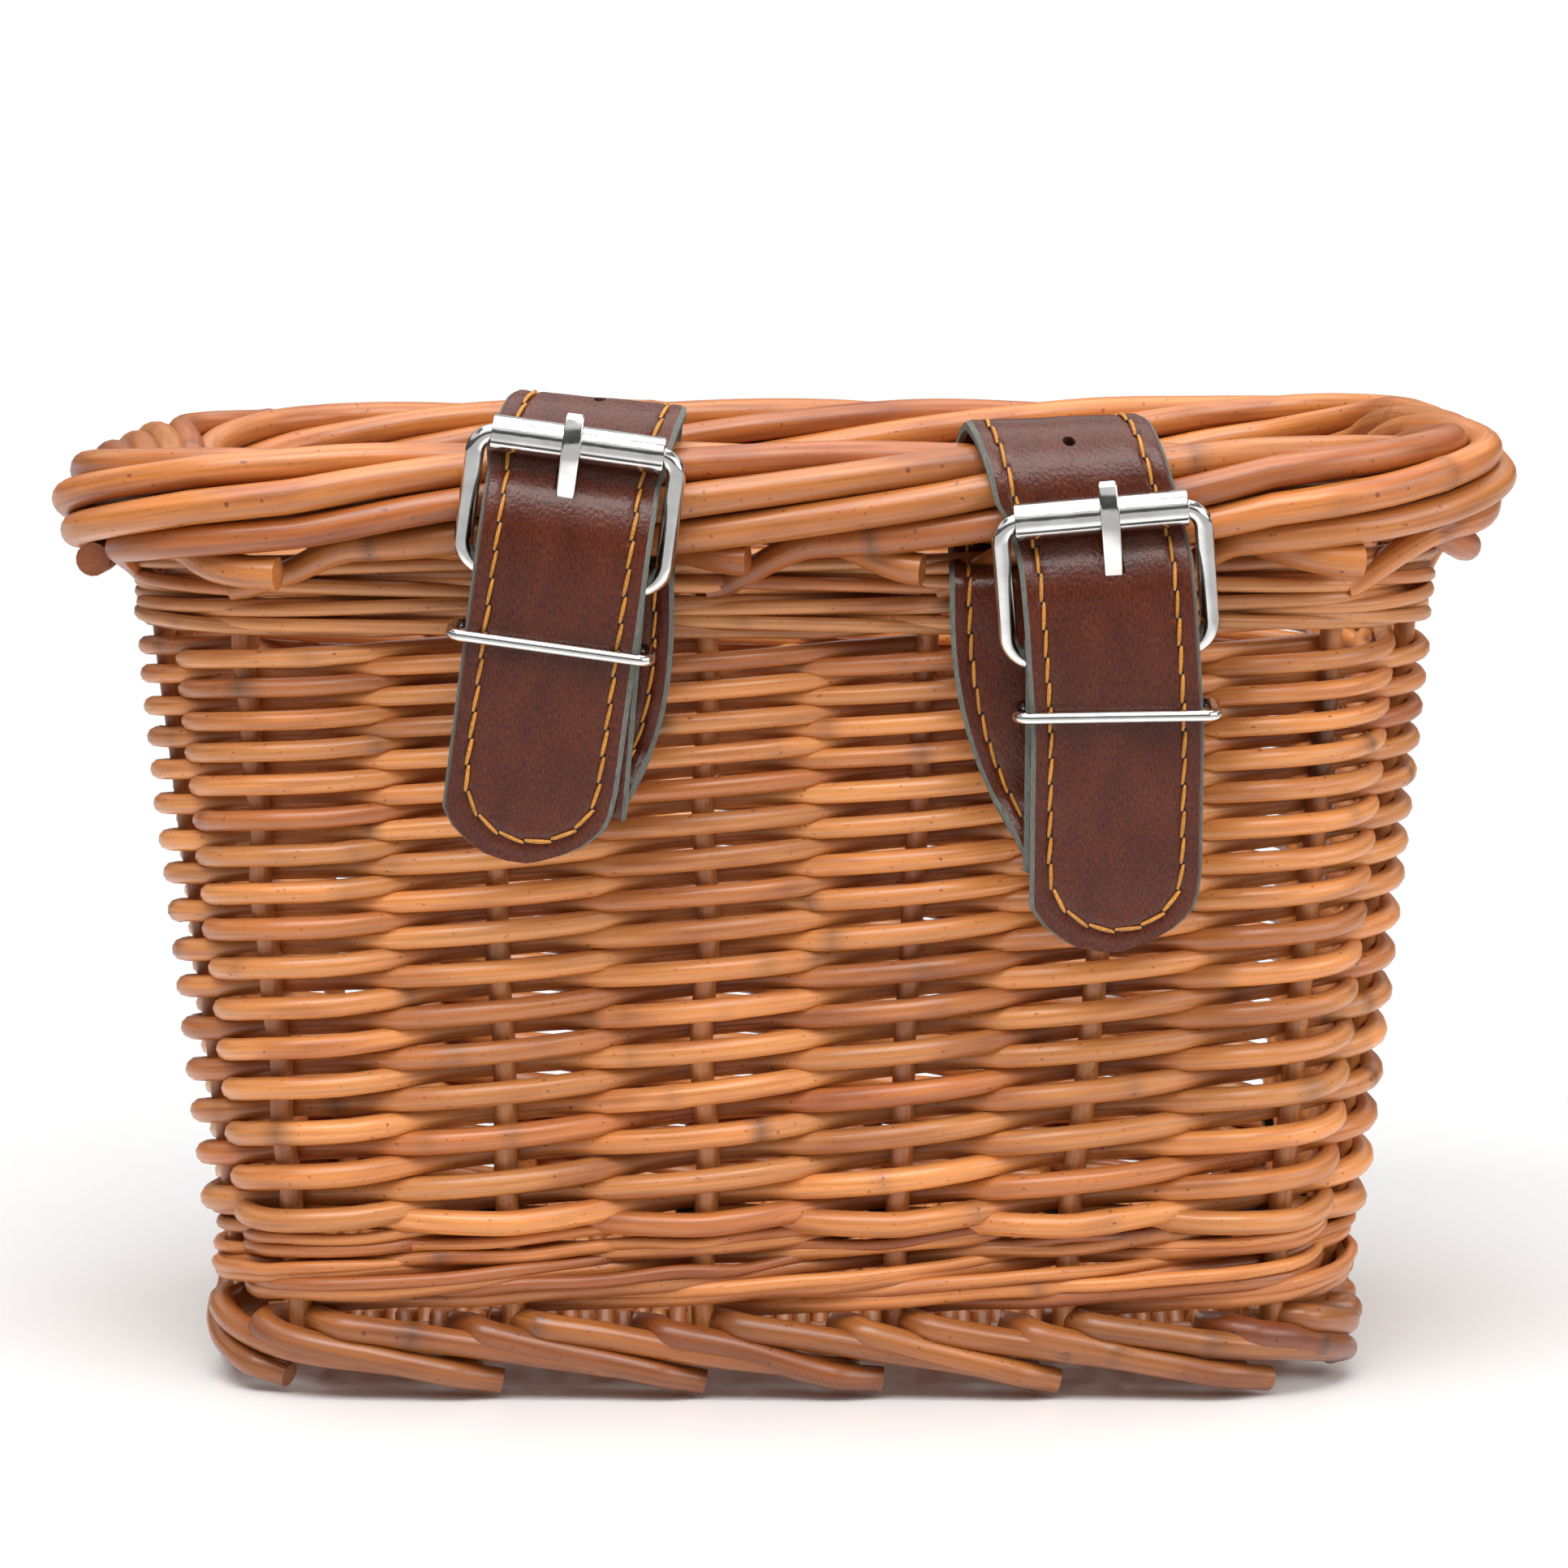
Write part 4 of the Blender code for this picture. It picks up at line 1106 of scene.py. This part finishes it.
def make_strap(name, data, seed):
    """Leather and thread: the free end is baked in place on no body, and the rest rides on the loop."""
    lay = Lay(name, data)
    ribbon = Ribbon(lay)
    length = ribbon.s[-1]
    holes = stitch_holes(length)
    end = (lay.heel[1] - data["tip"]) / math.cos(HANG)
    seam_s = end - SEAM_DROP
    hole = ribbon.nearest(*lay.wrap_place(data["hole_angle"])[:2])
    slot = ribbon.nearest(*data["slot_at"]) + 0.6
    punched = [(hole, HOLE_R, 0.0, HOLE_R, True), (slot, SLOT_HALF[0], data["prong_x"], SLOT_HALF[1], False)]
    free = make_leather(f"{name}_leather_end", ribbon, 0.0, seam_s, holes, [], seed)
    thread = make_stitches(f"{name}_thread_end", ribbon, 0.0, seam_s, holes, seed)
    for piece in (free, thread):
        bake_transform(piece)
    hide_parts(f"{name}_strap_tail")
    loop = make_leather(f"{name}_leather_loop", ribbon, seam_s, length, holes, punched, seed + 10)
    attach(loop, f"{name}_strap_loop", "strap_leather", f"{name}_strap")
    thread = make_stitches(f"{name}_thread_loop", ribbon, seam_s, length, holes, seed + 20)
    attach(thread, f"{name}_strap_loop", "strap_leather")
    make_frame(lay)
    make_roller(lay)
    make_prong(lay)
    make_keeper(lay)


# ---- stage

FLOOR_FADE = (0.17, 0.40)
CAMERA_TILT = 6.2
# How bright the light tent is by a ray's upward share.
TENT = ((0.0, 0.75), (0.02, 0.07), (0.34, 0.14), (0.42, 0.95), (0.58, 0.95), (0.68, 0.22), (0.84, 0.30),
        (1.0, 0.9))


def make_floor():
    """White paper that fades to transparent, into the white behind the basket."""
    mesh = bpy.data.meshes.new("floor")
    mesh.from_pydata([(-6, -6, 0), (6, -6, 0), (6, 6, 0), (-6, 6, 0)], [], [(0, 1, 2, 3)])
    floor = bpy.data.objects.new("floor", mesh)
    bpy.context.scene.collection.objects.link(floor)
    material, nodes, links, shader = new_material("floor_paper")
    shader.inputs["Base Color"].default_value = (0.93, 0.93, 0.93, 1.0)
    shader.inputs["Roughness"].default_value = 0.22
    shader.inputs["Specular IOR Level"].default_value = 0.35
    distance = nodes.new("ShaderNodeVectorMath")
    distance.operation = "LENGTH"
    links.new(nodes.new("ShaderNodeTexCoord").outputs["Object"], distance.inputs[0])
    fade = nodes.new("ShaderNodeMapRange")
    fade.interpolation_type = "SMOOTHSTEP"
    fade.inputs["From Min"].default_value, fade.inputs["From Max"].default_value = FLOOR_FADE
    links.new(distance.outputs["Value"], fade.inputs["Value"])
    blend = nodes.new("ShaderNodeMixShader")
    links.new(fade.outputs["Result"], blend.inputs[0])
    links.new(shader.outputs["BSDF"], blend.inputs[1])
    links.new(nodes.new("ShaderNodeBsdfTransparent").outputs["BSDF"], blend.inputs[2])
    links.new(blend.outputs["Shader"], nodes["Material Output"].inputs["Surface"])
    mesh.materials.append(material)


def make_world():
    """Plain white to look at; as a light, dark bands between a bright ring at mid height and a bright top."""
    world = bpy.data.worlds.new("studio")
    world.use_nodes = True
    nodes, links = world.node_tree.nodes, world.node_tree.links
    height = nodes.new("ShaderNodeSeparateXYZ")
    links.new(nodes.new("ShaderNodeTexCoord").outputs["Generated"], height.inputs[0])
    tent = ramp(nodes, links, height.outputs["Z"], TENT)
    seen = nodes.new("ShaderNodeLightPath").outputs["Is Camera Ray"]
    colour = blend_colour(nodes, links, "MIX", seen, tent, (1.0, 1.0, 1.0, 1.0))
    links.new(colour, nodes["Background"].inputs["Color"])
    nodes["Background"].inputs["Strength"].default_value = 1.0
    bpy.context.scene.world = world


def area_light(name, place, target, size, power):
    data = bpy.data.lights.new(name, "AREA")
    data.shape = "RECTANGLE"
    data.size, data.size_y = size
    data.energy = power
    lamp = bpy.data.objects.new(name, data)
    lamp.location = place
    lamp.rotation_euler = (Vector(target) - Vector(place)).to_track_quat("-Z", "Y").to_euler()
    bpy.context.scene.collection.objects.link(lamp)


def make_lights():
    area_light("key", (-0.2, -0.75, 1.2), (0.0, 0.0, 0.08), (1.4, 0.7), 20.0)
    area_light("fill", (1.1, -0.6, 0.6), (0.0, 0.0, 0.08), (1.0, 0.7), 7.5)
    area_light("top", (0.0, 0.25, 1.4), (0.0, 0.0, 0.1), (1.6, 1.2), 13.0)


def make_camera():
    data = bpy.data.cameras.new("camera")
    data.lens = 134.0
    data.sensor_width = 36.0
    data.clip_start = 0.05
    camera = bpy.data.objects.new("camera", data)
    camera.location = (0.0, -0.995, 0.203)
    camera.rotation_euler = (math.radians(90.0 - CAMERA_TILT), 0.0, 0.0)
    bpy.context.scene.collection.objects.link(camera)
    bpy.context.scene.camera = camera
    bpy.context.scene.view_settings.view_transform = "Standard"


def build():
    make_stakes()
    make_side_weave()
    make_wales()
    make_rim()
    make_foot()
    make_base()
    for i, (name, data) in enumerate(STRAPS.items()):
        make_strap(name, data, 100 * (i + 1))
    make_floor()
    make_world()
    make_lights()
    make_camera()


build()
